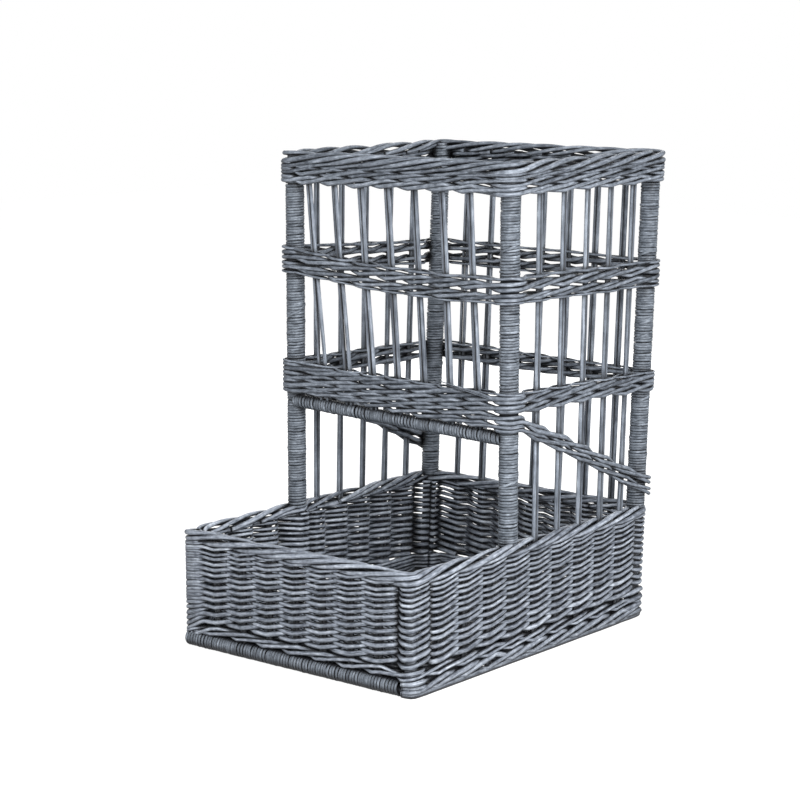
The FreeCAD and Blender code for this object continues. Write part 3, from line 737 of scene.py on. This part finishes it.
@dataclass
class BinWall:
    """The bin's wall: thick wale at the foot and close weave over it."""

    layout: Layout
    layers: int = 27
    foot: float = 34.0
    under_border: float = 2.0
    pitch_ratio: float = 0.62
    spacing: float = 49.0
    fullness: Span = (0.72, 0.7)
    radius_range: Span = (0.84, 1.12)
    wobble: float = 0.5
    ease: Ease = Ease(25.0, 8.0, 28.0, 10.0, 4.0, 19.0, 4.0)
    climb: float = 1.1
    kink: float = 0.13
    bend: float = 0.45
    inner_lift: float = 0.95
    steps: int = 3
    foot_round: Wale = Wale(4.6, 4.1, 0.0, 0, 1)
    lower_round: Wale = Wale(13.0, 3.9, 9.5, unevenness=1.1)
    upper_round: Wale = Wale(29.5, 3.0, 7.0, 1)
    bar_end: float = 189.0
    corner_dip: float = 18.0
    dip_length: float = 60.0
    dipped_layers: int = 5
    butts: tuple[float, ...] = (10.0, 20.5, 31.0, 42.0)
    butt_radius: float = 3.8
    butt_length: float = 60.0
    butt_end: float = -7.0
    butt_range: Span = (-3.0, 3.0)
    butt_flare: Span = (0.0, 2.0)
    butt_bend: tuple[Spot, ...] = ((1.0, -8.0, -5.0), (0.55, 0.0, -2.0), (0.0, 0.0, 1.0))
    tapers: Span = (0.3, -0.1)
    seam_step: int = 3
    lining: tuple[float, ...] = (18.4, 24.3, 30.2, 36.1)
    lining_radius: float = 3.0

    def build_weave(self) -> None:
        """Weaves one rod from every upright, which rises by a layer at each upright that it passes.

        Height = foot + the pitches of the layers below, and the pitch falls evenly from the lowest layer to
        the highest, as the rods thin out from butt to tip. A rod is outside the uprights in every second
        layer, and always outside the front left corner. It is bent up on both sides of an upright that it
        passes outside, and lies higher inside, behind the next rod.
        """
        rods = Rods("bin_weave_rods", WEAVE, seed=11)
        rng = rods.rng
        ring = self.layout.bin
        count = int(ring.number.max()) + 1
        pitch = np.linspace(1, self.pitch_ratio, self.layers)
        pitch *= (node_box("bin_weave")[1, 2] + self.under_border - self.foot) / pitch.sum()
        level = self.foot + np.cumsum(pitch) - pitch / 2
        layer = (ring.number - np.arange(count)[:, None]) % count
        woven = np.minimum(layer, self.layers - 1)
        outside = (woven % 2 == 1) | (ring.number == 0)
        fullness = np.linspace(*self.fullness, self.layers)[woven]
        radius = fullness * pitch[woven] * rng.uniform(*self.radius_range, (count, 1))
        height = level[woven] + rng.normal(0, self.wobble, woven.shape)
        height += self.inner_lift * pitch[woven] * ~outside
        climb = self.climb * pitch[woven] / self.spacing
        side = np.where(outside, 1.0, -1.0)
        points = ring.passes(side, radius, flat(0.0), height, climb, self.ease, self.kink)
        place = ring.stations()
        fade = np.clip(1 - woven / self.dipped_layers, 0, 1)[:, place]
        points[..., 2] -= fade * (self.upper_round.level - self.dipped(points[..., 0], points[..., 1]))
        for rod in range(count):
            first = int(np.argmax(ring.number[place] == rod))
            order = (first + np.arange(len(place))) % len(place)
            order = order[layer[rod, place[order]] < self.layers]
            path = smooth(points[rod : rod + 1, order], self.steps, self.bend)
            spot = np.arange(path.shape[1]) / self.steps
            rods.add(path, np.interp(spot, np.arange(len(order)), radius[rod, place[order]])[None])
        rods.piece("bin_weave")

    def build_wale(self) -> None:
        """Lays a thick foot rod and a round of wale between the front bar's ends, and a round over them.

        The upper round dips at the front left corner, as the square of the share of the way to it. Thick
        butts lie over the end of the right wall, each bent at places given by a share of its length and an
        offset, and stick out a little at the rear. Plain rods line the foot inside.
        """
        rods = Rods("bottom_wale_rods", WEAVE, seed=12)
        ring = self.layout.bin
        first = POINTS * (1 + int(ring.on(Face.FRONT).sum()))
        side = np.ones((1, len(ring.reach)))
        foot = self.foot_round
        below = ring.passes(side, foot.radius, flat(foot.level), 0 * side, 0.0, foot.ease)
        under, thick = self.lower_round.controls(ring, flat(self.lower_round.level), rods.rng)
        for points, radius in ((below, foot.radius), (under, thick)):
            butts = points[:, first : first + 1] * [0, 1, 1] + [self.bar_end, 0, 0]
            points = np.concatenate([butts, points[:, first:], points[:, :POINTS]], axis=1)
            rods.lay(smooth(points, self.steps), radius, sides=10, taper=self.tapers[0])
        over, thick = self.upper_round.controls(ring, self.dipped, rods.rng)
        paths = smooth(closed(over, over.shape[1] // 2, self.seam_step), self.steps)
        rods.lay(paths, thick)
        level = np.array(self.butts)
        face = self.layout.side + ring.swell - self.butt_radius
        end = self.layout.rear + self.butt_end + rods.rng.uniform(*self.butt_range, len(level))
        flare = rods.rng.uniform(*self.butt_flare, len(level))
        back, out, rise = np.array(self.butt_bend).T
        x = face + out + flare[:, None] * (back == 0)
        bent = np.stack([x, end[:, None] - back * self.butt_length, level[:, None] + rise], axis=-1)
        rods.lay(smooth(bent, self.steps), self.butt_radius, sides=10, taper=self.tapers[1])
        level = np.array(self.lining)[:, None] + 0 * side
        lining = ring.passes(-np.ones(level.shape), self.lining_radius, flat(0.0), level, 0.0, foot.ease)
        paths = smooth(closed(lining, lining.shape[1] // 2, self.seam_step), self.steps)
        rods.lay(paths, self.lining_radius)
        rods.piece("bottom_wale")

    def dipped(self, x: Array, y: Array) -> Array:
        """Height of the upper round of wale, lower towards the front left corner."""
        left = np.hypot(x + self.layout.side, y - self.layout.front)
        return self.upper_round.level - self.corner_dip * np.clip(1 - left / self.dip_length, 0, 1) ** 2


@dataclass
class Border:
    """A rolled border: one thick strand starts at each upright and winds over the rim to the inside."""

    layout: Layout
    radius: float = 3.5
    squash: float = 1.15
    radius_range: Span = (0.88, 1.06)
    taper: float = 0.25
    length: float = 244.0
    length_range: Span = (0.93, 1.07)
    start_spread: float = 4.0
    first_angle: float = -125.0
    last_angle: float = 232.0
    angle_spread: float = 5.0
    look_ahead: float = 2.0
    overhang: float = 3.0
    samples: int = 32
    line_steps: int = 12
    post_swing: float = 2.3
    post_width: float = 16.0

    def build(self, node: str, finish: Willow, ring: Uprights, seed: int) -> None:
        """Winds the strands of one border.

        Strand = rim line + normal * a * cos f + up * b * sin f, where f grows evenly along the strand,
        and a grows on the inner side beside a post so that the strand goes round it.

        Args:
            node: the node of the frame that it replaces.
            finish: the strands' finish.
            ring: the uprights under the border.
            seed: start of the piece's random numbers.
        """
        rods = Rods(node + "_rods", finish, seed)
        rng = rods.rng
        low, high = node_box(node)[:, 2]
        b = self.squash * ((high - low) / 2 - self.radius)
        middle = high - b - self.radius
        rim = np.full(len(ring.reach), middle)
        plan = ring.axis(rim) + ring.normal * (ring.reach - ring.inset)[:, None]
        controls = np.concatenate([plan, rim[:, None]], axis=1)[None]
        line = smooth(closed(controls, 0), self.line_steps)[0]
        stride = np.linalg.norm(np.diff(line, axis=0), axis=1)
        along = np.concatenate([[0], np.cumsum(stride)])
        first = np.unique(ring.number, return_index=True)[1]
        heads = along[: -1 : self.line_steps][first]
        posts = along[: -1 : self.line_steps][first[ring.order[first] == 0]]
        share = np.linspace(0, 1, self.samples)
        count = len(heads)
        length = self.length * rng.uniform(*self.length_range, (count, 1))
        spot = (heads[:, None] + rng.normal(0, self.start_spread, (count, 1)) + share * length) % along[-1]

        def on_rim(places: Array) -> Array:
            """Points of the rim line at places along it."""
            return np.stack([np.interp(places % along[-1], along, row) for row in line.T], axis=-1)

        centre = on_rim(spot)
        tangent = unit(on_rim(spot + self.look_ahead) - centre)
        normal = np.stack([tangent[..., 1], -tangent[..., 0], 0 * tangent[..., 0]], axis=-1)
        start = self.first_angle + rng.normal(0, self.angle_spread, (count, 1))
        angle = np.radians(start + share * (self.last_angle - self.first_angle))
        a = ring.inset + self.overhang - self.radius
        gap = np.abs((spot[..., None] - posts + along[-1] / 2) % along[-1] - along[-1] / 2).min(axis=-1)
        swing = 1 + self.post_swing * np.exp(-((gap / self.post_width) ** 2))
        out = a * np.cos(angle) * np.where(np.cos(angle) < 0, swing, 1.0)
        paths = centre + normal * out[..., None] + UP * (b * np.sin(angle))[..., None]
        radius = self.radius * rng.uniform(*self.radius_range, count)
        rods.lay(paths, radius, sides=10, taper=self.taper)
        rods.piece(node)


@dataclass(frozen=True)
class Band:
    """A closed band of the tower: its rounds, and the height of its middle at the four posts.

    The posts come in the order front left, front right, rear right, rear left. On the front it sags.
    """

    node: str
    seed: int
    corners: tuple[float, float, float, float]
    rounds: tuple[Wale, ...]
    sag: float = 0.0

    def round(self, layout: Layout, level: float) -> Heights:
        """Heights of one round: straight between the corners, and on the front a sag of 4 s (1 - s).

        Args:
            layout: the basket's main places.
            level: height of the round over the band's middle.

        Returns:
            The heights over the plan.
        """
        front_left, front_right, rear_right, rear_left = self.corners

        def heights(x: Array, y: Array) -> Array:
            """Height at places of the plan.

            Args:
                x: places from left to right.
                y: places from front to rear.

            Returns:
                The height over each place.
            """
            right, back = layout.shares(x, y)
            front = front_left + right * (front_right - front_left) - 4 * self.sag * right * (1 - right)
            rear = rear_left + right * (rear_right - rear_left)
            return front + back * (rear - front) + level

        return heights


@dataclass
class TowerBands:
    """The bands of wale round the tower, and the one over the opening that runs down both sides."""

    layout: Layout
    steps: int = 4
    seam: int = -14
    seam_step: int = 4
    lower: Band = Band(
        "lower_band", 21, (363.5, 355.5, 346.5, 354.5),
        (Wale(-6.2, 3.3, 6.0), Wale(5.8, 3.4, 6.4, 1), Wale(13.4, 1.5, 0.5, 0, 1)), 2.5,
    )
    middle: Band = Band(
        "middle_band", 22, (524.0, 507.5, 503.0, 508.0),
        (
            Wale(-16.6, 1.8, 0.5, 0, 1), Wale(-8.6, 3.1, 6.0, 1), Wale(6.2, 3.2, 6.4),
            Wale(16.4, 1.8, 0.5, 1, 1),
        ), 8.5,
    )
    top: Band = Band(
        "top_band", 23, (646.0, 646.0, 646.0, 646.0),
        (Wale(-7.2, 3.2, 6.2), Wale(3.6, 3.2, 6.4, 2), Wale(12.4, 2.9, 5.0, 1)),
    )
    tips: tuple[tuple[float, float, float, float], ...] = (
        (186.0, 361.0, 78.0, 378.0), (190.0, 358.0, 98.0, 373.0), (176.0, 364.0, 118.0, 372.5)
    )
    tip_radius: float = 0.9
    tip_taper: float = 0.5
    tip_samples: int = 9
    tip_proud: float = 1.5
    tip_bow: Span = (2.5, 1.5)
    opening_rounds: tuple[Wale, ...] = (Wale(0.25, 3.3, 6.2), Wale(0.75, 3.4, 6.4, 2))
    opening_foot: Span = (334.0, 318.0)
    opening_top: Span = (350.5, 342.0)
    brace_foot: float = 193.0
    brace_height: float = 22.0
    brace_growth: float = 3.0
    brace_fan: float = 7.0
    brace_bend: float = 0.15
    free_end: float = 17.0
    free_range: Span = (-4.0, 5.0)

    def build(self) -> None:
        """Weaves all bands."""
        for band in (self.lower, self.middle, self.top):
            self.build_band(band)
        self.build_opening_band()

    def build_band(self, band: Band) -> None:
        """Weaves a closed band, whose rods start and end on the left side, each at a stake of its own.

        Args:
            band: the band.
        """
        rods = Rods(band.node + "_rods", BAND, band.seed)
        ring = self.layout.tower
        for wale in band.rounds:
            points, radius = wale.controls(ring, band.round(self.layout, wale.level), rods.rng)
            rods.lay(smooth(closed(points, self.seam - wale.phase, self.seam_step), self.steps), radius)
        if band is self.lower:
            self.add_tips(rods)
        rods.piece(band.node)

    def add_tips(self, rods: Rods) -> None:
        """Lets thin tips come loose from the lower band at the right of the front, in bows of half a sine.

        Args:
            rods: the piece that gets the tips.
        """
        x0, z0, x1, z1 = np.array(self.tips).T[..., None]
        share = np.linspace(0, 1, self.tip_samples)
        bow = np.sin(math.pi * share)
        y = self.layout.post_y - self.layout.post_reach - self.tip_proud - self.tip_bow[0] * bow
        height = z0 + share * (z1 - z0) + self.tip_bow[1] * bow
        paths = np.stack([x0 + share * (x1 - x0), np.broadcast_to(y, height.shape), height], axis=-1)
        rods.lay(paths, self.tip_radius, sides=6, taper=self.tip_taper)

    def build_opening_band(self) -> None:
        """Weaves the band over the opening, round both front posts and down the sides to the rear posts.

        On the front it fans from the bar to the lower band. The rods end a little behind the rear posts.
        """
        rods = Rods("opening_band_rods", BAND, seed=24)
        ring = self.layout.tower
        side, front = (POINTS * int(ring.on(face).sum()) for face in (Face.RIGHT, Face.FRONT))
        length = 2 * POINTS + front + side + 1
        for wale in self.opening_rounds:
            points, radius = wale.controls(ring, self.opening_round(wale.level), rods.rng)
            points = np.concatenate([points[:, -side - 1 :], points[:, :length]], axis=1)
            ends = []
            for outer, inner in ((points[:, :1], points[:, 1:2]), (points[:, -1:], points[:, -2:-1])):
                reach = self.free_end + rods.rng.uniform(*self.free_range, (len(points), 1, 1))
                ends.append(outer + unit((outer - inner) * [0, 1, 1]) * reach)
            rods.lay(smooth(np.concatenate([ends[0], points, ends[1]], axis=1), self.steps), radius)
        rods.piece("opening_band", "left_brace_band", "right_brace_band")

    def opening_round(self, share: float) -> Heights:
        """Heights of one round of the band over the opening.

        Beside the tower its foot goes from the front post's level to the rear post's by
        s + bend * (s * s - s), where s is the share of the way. There it soon grows to the brace's height,
        and fans out by s ** 4.

        Args:
            share: how far up the band the round lies.

        Returns:
            The heights over the plan.
        """

        def heights(x: Array, y: Array) -> Array:
            """Height at places of the plan.

            Args:
                x: places from left to right.
                y: places from front to rear.

            Returns:
                The height over each place.
            """
            right, back = self.layout.shares(x, y)
            foot = np.interp(right, (0, 1), self.opening_foot)
            height = np.interp(right, (0, 1), np.subtract(self.opening_top, self.opening_foot))
            fall = back + self.brace_bend * (back**2 - back)
            foot = foot + fall * (self.brace_foot - self.layout.tilt * x - foot)
            grown = np.minimum(self.brace_growth * back, 1)
            height = height + grown * (self.brace_height - height) + self.brace_fan * back**4
            return foot + share * height

        return heights


@dataclass
class StakeRows:
    """Upright rods in pairs, a little bowed, thinner at the top, and some of them spread at the foot."""

    layout: Layout
    seed: int = 30
    radius_range: Span = (0.92, 1.08)
    taper: float = 0.14
    waver: float = 0.03
    pair_gap: float = 0.1
    bow: float = 0.5
    bow_turns: float = 2.0
    spread: float = 2.8
    spread_fall: float = 1.3
    spread_tier: float = 140.0
    samples: int = 24
    hidden_top: float = 7.0

    def build(
        self, node: str, ring: Uprights, marks: Array, number: int, closed_at: float | None = None
    ) -> None:
        """Stands the stakes of one row.

        Rod = axis + along the wall * (half the pair's gap + spread) + bow * sine of the height, where the
        spread grows evenly below the level at which the pairs are closed, and falls from the row's left
        end to its right.

        Args:
            node: the node of the frame that the row replaces.
            ring: the ring that the stakes belong to.
            marks: the stakes of the row.
            number: which row it is.
            closed_at: the level at which the pairs are closed, where they spread at all.
        """
        rods = Rods(node + "_rods", STAKE, self.seed + number)
        rng = rods.rng
        low, high = node_box(node)[:, 2]
        count = int(marks.sum())
        share = np.linspace(0, 1, self.samples)
        level = low + share * (high - self.hidden_top - low)
        centre = ring.foot[marks][:, None] + ring.lean[marks][:, None] * level[:, None]
        wall = np.stack([-ring.normal[marks][:, 1], ring.normal[marks][:, 0]], axis=1)
        opening = np.zeros((count, self.samples))
        if closed_at is not None:
            most = self.spread * np.exp(-np.arange(count) / self.spread_fall)
            opening = most[:, None] * np.clip((closed_at - level) / self.spread_tier, 0, 1)
        pairs = []
        for sign in (-1, 1):
            gap = sign * (self.layout.stake_radius + self.pair_gap / 2 + opening)
            phase = rng.uniform(0, 2, (count, 1, 1))
            wave = np.sin(math.pi * share * self.bow_turns + phase)
            bend = rng.normal(0, self.bow, (count, 2, 1)) * wave
            plan = centre + wall[:, None] * gap[..., None] + bend.transpose(0, 2, 1)
            height = np.broadcast_to(level[:, None], (*plan.shape[:2], 1))
            pairs.append(np.concatenate([plan, height], axis=2))
        thickness = self.layout.stake_radius * rng.uniform(*self.radius_range, 2 * count)
        # Painted shade on the side of each rod that faces its partner.
        partner = np.concatenate([wall, -wall])
        partner = np.concatenate([partner, 0 * partner[:, :1]], axis=1)[:, None]
        back = np.array([0.0, 1.0, 0.0])
        paths = np.concatenate(pairs)
        rods.lay(paths, thickness, sides=12, taper=self.taper, waver=self.waver, up=back, ran=partner)
        rods.piece(node)


@dataclass(frozen=True)
class Winding:
    """Split willow skein wound closely round a post or bar: uneven turns, and ends tucked in across."""

    pitch: float = 3.9
    thickness: float = 1.0
    fullness: float = 0.53
    unevenness: float = 0.2
    push: float = 0.1
    lift: float = 0.2
    ridge: float = 0.7
    ridges: float = 0.05
    tuck_spacing: float = 55.0
    tuck_angle: float = 1.9
    tuck_rise: float = 9.0
    tuck_range: Span = (0.1, 0.8)
    tuck_height: float = 1.1
    tuck_sink: float = 0.4
    tuck_samples: int = 10
    wave_limit: float = 2.0
    aside: Spot = (0.3, 0.9, 0.25)
    steps: int = 18

    def turns(self, rods: Rods, start: Array, end: Array, radius: float) -> None:
        """Winds one stretch.

        Skein = axis + radius * (cos f * first + sin f * second), where f turns once in each pitch, and
        first and second are square to the axis. The pitch differs from turn to turn, small waves move each
        turn along the axis and outwards, and a few turns ride up on their neighbours.

        Args:
            rods: the piece that gets the winding.
            start: first point of the axis.
            end: last point of the axis.
            radius: outer radius of the wound bar.
        """
        rng = rods.rng
        length = np.linalg.norm(end - start)
        axis = (end - start) / length
        first = unit(np.cross(axis, self.aside))
        second = np.cross(axis, first)

        def skein(spot: Array, angle: Array, out: Array, tone: Array) -> None:
            """Lays skeins round the axis.

            Args:
                spot: places along the axis, (skeins, points).
                angle: angles round it.
                out: distances from it.
                tone: lighter or darker stain.
            """
            radial = np.cos(angle)[..., None] * first + np.sin(angle)[..., None] * second
            path = start + spot[..., None] * axis + radial * out[..., None]
            size = np.full(spot.shape, self.thickness)
            rods.add(path, size, up=radial, width=self.fullness * self.pitch / self.thickness, tone=tone)

        inset = self.fullness * self.pitch
        turns = max(int(round(length / self.pitch)), 2)
        spot = np.linspace(0, turns, turns * self.steps)
        whole, half = np.arange(turns + 1), np.arange(2 * turns + 1) / 2
        pitches = rng.uniform(1 - self.unevenness, 1 + self.unevenness, turns)
        along = np.concatenate([[0], np.cumsum(pitches)]) / pitches.sum() * (length - 2 * inset) + inset
        waves = np.clip(rng.normal(0, 1, (3, len(half))), -self.wave_limit, self.wave_limit)
        push, lift, tone = (np.interp(spot, half, row) for row in waves)
        ridge = np.interp(spot, whole, rng.random(len(whole)) < self.ridges)
        out = radius - self.thickness + self.lift * lift + self.ridge * ridge
        place = np.interp(spot, whole, along) + self.push * self.pitch * push
        skein(place[None], TURN * spot[None], out[None], tone[None])

        count = int(length / self.tuck_spacing)
        if count:
            share = np.linspace(0, 1, self.tuck_samples)
            place = rng.uniform(*self.tuck_range, (count, 1)) * length + self.tuck_rise * share
            angle = rng.uniform(0, TURN, (count, 1)) + self.tuck_angle * share
            out = radius - self.thickness + self.tuck_height * np.sin(math.pi * share) - self.tuck_sink
            tone = rng.normal(0, 1, (count, 1))
            skein(place, angle, np.broadcast_to(out, angle.shape), np.broadcast_to(tone, angle.shape))


@dataclass
class Posts:
    """The skein on the tower's posts, under the bands too."""

    layout: Layout
    seed: int = 50
    under_border: float = 8.0

    def build(self) -> None:
        """Winds each post from the bin's border up to the tower's."""
        layout = self.layout
        low = node_box("bin_border")[1, 2] - self.under_border
        high = node_box("top_border")[1, 2] - self.under_border
        corners = [("front", "left"), ("front", "right"), ("rear", "right"), ("rear", "left")]
        for number, (end, side) in enumerate(corners):
            name = f"{end}_{side}_post_wrap"
            rods = Rods(name + "_skein", WRAP, self.seed + number)
            x = layout.post_x * (1 if side == "right" else -1)
            y, lean = (layout.post_y, 0.0) if end == "front" else (layout.rear_post_y, layout.lean)
            start, finish = (np.array([x, y + lean * z, z]) for z in (low, high))
            Winding().turns(rods, start, finish, layout.post_radius + layout.wrap)
            rods.piece(name)


@dataclass
class Bars:
    """The wound bars over the opening and under the front of the bin."""

    layout: Layout
    seed: int = 60
    opening_radius: float = 9.7
    bottom_radius: float = 10.8
    forward: Span = (1.2, 1.8)
    clearance: float = 0.6
    bottom_right_end: float = 187.5
    winding: Winding = Winding(
        pitch=4.7, thickness=1.25, fullness=0.5, unevenness=0.33, push=0.08, lift=0.18, ridge=0.4,
        tuck_spacing=110.0, steps=20,
    )

    def build(self) -> None:
        """Winds both bars from end to end."""
        low, high = node_box("opening_bar_wrap")
        middle = (low + high) / 2 - [0, self.forward[0], 0]
        slope = np.array([1.0, 0.0, -self.layout.tilt]) * (high[0] - low[0]) / 2
        self.wind("opening_bar_wrap", self.seed, middle - slope, middle + slope, self.opening_radius)
        low, high = node_box("bottom_bar_wrap")
        y, z = (low[1] + high[1]) / 2 - self.forward[1], self.bottom_radius + self.clearance
        start, end = np.array([low[0], y, z]), np.array([self.bottom_right_end, y, z])
        self.wind("bottom_bar_wrap", self.seed + 1, start, end, self.bottom_radius)

    def wind(self, node: str, seed: int, start: Array, end: Array, radius: float) -> None:
        """Winds one bar.

        Args:
            node: the node of the frame that the winding replaces.
            seed: start of the piece's random numbers.
            start: first point of the bar's axis.
            end: last point of the bar's axis.
            radius: outer radius of the wound bar.
        """
        rods = Rods(node + "_skein", WRAP, seed)
        self.winding.turns(rods, start, end, radius)
        rods.piece(node)


@dataclass
class BinFloor:
    """The woven floor: rods from side to side, over one stick and under the next."""

    layout: Layout
    pitch: float = 3.6
    radius: float = 2.1
    radius_range: Span = (0.9, 1.05)
    taper: float = 0.15
    waver: float = 0.02
    seat: float = 0.65
    end_gap: float = 1.0
    end_lift: float = 0.3
    lift_range: Span = (-0.2, 0.2)
    wobble: float = 0.35
    steps: int = 6
    sticks: int = 8

    def build(self) -> None:
        """Weaves the floor.

        Rod = straight line from side to side, lifted over or under each stick in turn.
        """
        rods = Rods("floor_weave_rods", WEAVE, seed=70)
        rng = rods.rng
        low, high = node_box("floor_weave")
        stick_low, stick_high = node_box("floor_sticks")
        stick = (stick_high[2] - stick_low[2]) / 2
        middle = (stick_high[2] + stick_low[2]) / 2
        count = int((high[1] - low[1]) / self.pitch)
        y = low[1] + (np.arange(count) + 0.5) * (high[1] - low[1]) / count
        gap = (high[0] - low[0]) / self.sticks
        crossings = low[0] + (np.arange(self.sticks) + 0.5) * gap
        x = np.concatenate([[low[0] + self.end_gap], crossings, [high[0] - self.end_gap]])
        turn = (np.arange(count)[:, None] + np.arange(self.sticks + 2)) % 2 * 2.0 - 1.0
        turn[:, [0, -1]] *= self.end_lift
        lift = middle + turn * (stick + self.radius * self.seat) + rng.uniform(*self.lift_range, turn.shape)
        side = y[:, None] + rng.normal(0, self.wobble, turn.shape)
        paths = smooth(np.stack([np.broadcast_to(x, turn.shape), side, lift], axis=-1), self.steps)
        radius = self.radius * rng.uniform(*self.radius_range, count)
        rods.lay(paths, radius, taper=self.taper, waver=self.waver)
        rods.piece("floor_weave")


@dataclass(frozen=True)
class Lamp:
    """A square lamp that points at the middle of the basket: its place, its side and its power in watts."""

    name: str
    place: Spot
    size: float
    watts: float


@dataclass
class Studio:
    """Pale floor, soft light and the camera at the photograph's angle."""

    azimuth: float = 39.58
    pitch: float = 9.86
    distance: float = 3152.2
    focal_pixels: float = 2247.2
    image_width: float = 800.0
    aim_across: float = -27.27
    aim_up: float = -16.70
    aim_height: float = 350.0
    sensor: float = 36.0
    farthest: float = 100.0
    floor_half: float = 6000.0
    paper: float = 0.35
    paper_glow: float = 0.9
    bounce: float = 0.5
    soft_light: float = 0.28
    lamps: tuple[Lamp, ...] = (
        Lamp("key", (1920.0, -1200.0, 1250.0), 1600.0, 114.0),
        Lamp("fill", (-500.0, -1900.0, 500.0), 1500.0, 12.0),
        Lamp("rear", (-1500.0, 1900.0, 1100.0), 1800.0, 45.0),
    )

    def build(self) -> None:
        """Sets up floor, world, lamps and camera."""
        self.build_floor()
        self.build_world()
        for lamp in self.lamps:
            self.build_lamp(lamp)
        self.build_camera()

    def for_eye(self, tree: Tree, unseen: Socket, seen: Socket) -> Socket:
        """Mixes a shader for scattered light with one for what the camera sees, in gloss and glass too.

        Args:
            tree: the tree that gets the nodes.
            unseen: the shader for scattered light.
            seen: the shader for the camera.

        Returns:
            The mixed shader.
        """
        rays = add_node(tree, "LightPath").node.outputs
        eye = rays["Is Camera Ray"]
        for ray in ("Is Glossy Ray", "Is Transmission Ray"):
            eye = add_node(tree, "Math", {0: eye, 1: rays[ray]}, operation="MAXIMUM")
        return add_node(tree, "MixShader", {0: eye, 1: unseen, 2: seen})

    def build_floor(self) -> None:
        """Lays a flat square whose material keeps the shadow and shows pale to the camera."""
        half = self.floor_half * MM
        corners = [(-half, -half, 0), (half, -half, 0), (half, half, 0), (-half, half, 0)]
        mesh = bpy.data.meshes.new("studio_floor")
        mesh.from_pydata(corners, [], [(0, 1, 2, 3)])
        material, tree = new_material("pale_paper")
        tree.nodes.clear()
        shades = self.paper, self.bounce
        paper, bounce = (add_node(tree, "BsdfDiffuse", {"Color": grey(shade)}) for shade in shades)
        glow = add_node(tree, "Emission", {"Color": grey(1.0), "Strength": self.paper_glow})
        seen = add_node(tree, "AddShader", {0: paper, 1: glow})
        add_node(tree, "OutputMaterial", {"Surface": self.for_eye(tree, bounce, seen)})
        mesh.materials.append(material)
        floor = add_object("studio_floor", mesh)

    def build_world(self) -> None:
        """Soft light from all round, seen as white by the camera."""
        world = bpy.data.worlds.new("studio")
        bpy.context.scene.world = world
        world.use_nodes = True
        tree = world.node_tree
        tree.nodes.clear()
        soft, white = (
            add_node(tree, "Background", {"Color": grey(1.0), "Strength": strength})
            for strength in (self.soft_light, 1.0)
        )
        add_node(tree, "OutputWorld", {"Surface": self.for_eye(tree, soft, white)})

    def build_lamp(self, lamp: Lamp) -> None:
        """Hangs one lamp.

        Args:
            lamp: the lamp.
        """
        light = bpy.data.lights.new(lamp.name, "AREA")
        light.size = lamp.size * MM
        light.energy = lamp.watts
        spot = np.array(lamp.place)
        add_object(lamp.name, light).matrix_world = self.looking(spot, unit(spot - self.aim_height * UP))

    def looking(self, spot: Array, back: Array) -> Matrix:
        """The place and turn of a lamp or a camera.

        Args:
            spot: where it stands.
            back: the direction that it looks away from, one long.

        Returns:
            Its matrix, in metres and upright.
        """
        right = unit(np.cross(UP, back))
        turn = np.eye(4)
        turn[:3, 0], turn[:3, 1], turn[:3, 2], turn[:3, 3] = right, np.cross(back, right), back, spot * MM
        return Matrix(turn.tolist())

    def build_camera(self) -> None:
        """Places the camera on its line of sight."""
        a, p = math.radians(self.azimuth), math.radians(self.pitch)
        back = np.array([math.sin(a) * math.cos(p), -math.cos(a) * math.cos(p), math.sin(p)])
        right = np.array([math.cos(a), math.sin(a), 0.0])
        aim = self.aim_across * right + self.aim_up * np.cross(back, right) + self.aim_height * UP
        lens = bpy.data.cameras.new("camera")
        lens.sensor_width = self.sensor
        lens.lens = self.focal_pixels / self.image_width * self.sensor
        lens.clip_end = self.farthest
        camera = add_object("camera", lens)
        camera.matrix_world = self.looking(aim + self.distance * back, back)
        bpy.context.scene.camera = camera


def dress_frame() -> None:
    """Gives the nodes of the frame that stay in view their finishes."""
    upright, across, lengthwise = (POST.material(g) for g in (Grain.ALONG_Z, Grain.ALONG_X, Grain.ALONG_Y))
    steel = STEEL.material()
    finishes = {
        upright: ["front_left_post", "front_right_post", "rear_left_post", "rear_right_post",
                  "bin_left_corner_post", "bin_right_corner_post"],
        across: ["opening_bar", "bottom_bar"],
        lengthwise: ["floor_sticks"],
        steel: ["opening_bar_nails", "bottom_bar_nails"],
    }
    for material, nodes in finishes.items():
        for name in nodes:
            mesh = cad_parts[name].data
            mesh.materials.clear()
            mesh.materials.append(material)
            log.info("%s: %s", name, material.name)


def main() -> None:
    """Builds the basket's pieces, the frame's finishes and the studio."""
    logging.basicConfig(level=logging.INFO, format="%(name)s: %(message)s")
    bpy.context.scene.view_settings.view_transform = "Standard"
    layout = Layout()
    wall = BinWall(layout)
    wall.build_wale()
    wall.build_weave()
    border = Border(layout)
    border.build("bin_border", WEAVE, layout.bin, seed=13)
    border.build("top_border", BAND, layout.tower, seed=14)
    bands = TowerBands(layout)
    bands.build()
    stakes = StakeRows(layout)
    tower_part = layout.bin.foot[:, 1] > layout.post_y
    rows = [("bin", face, layout.bin, ~tower_part) for face in (Face.FRONT, Face.LEFT, Face.RIGHT)]
    rows += [("tower", face, layout.tower, True) for face in (Face.LEFT, Face.RIGHT, Face.REAR, Face.FRONT)]
    for number, (part, face, ring, wanted) in enumerate(rows):
        spread_row = part == "tower" and face is Face.FRONT
        closed_at = bands.middle.corners[0] if spread_row else None
        stakes.build(f"{part}_{face.name.lower()}_stakes", ring, ring.on(face) & wanted, number, closed_at)
    Posts(layout).build()
    Bars(layout).build()
    BinFloor(layout).build()
    dress_frame()
    Studio().build()


if __name__ == "__main__":
    main()
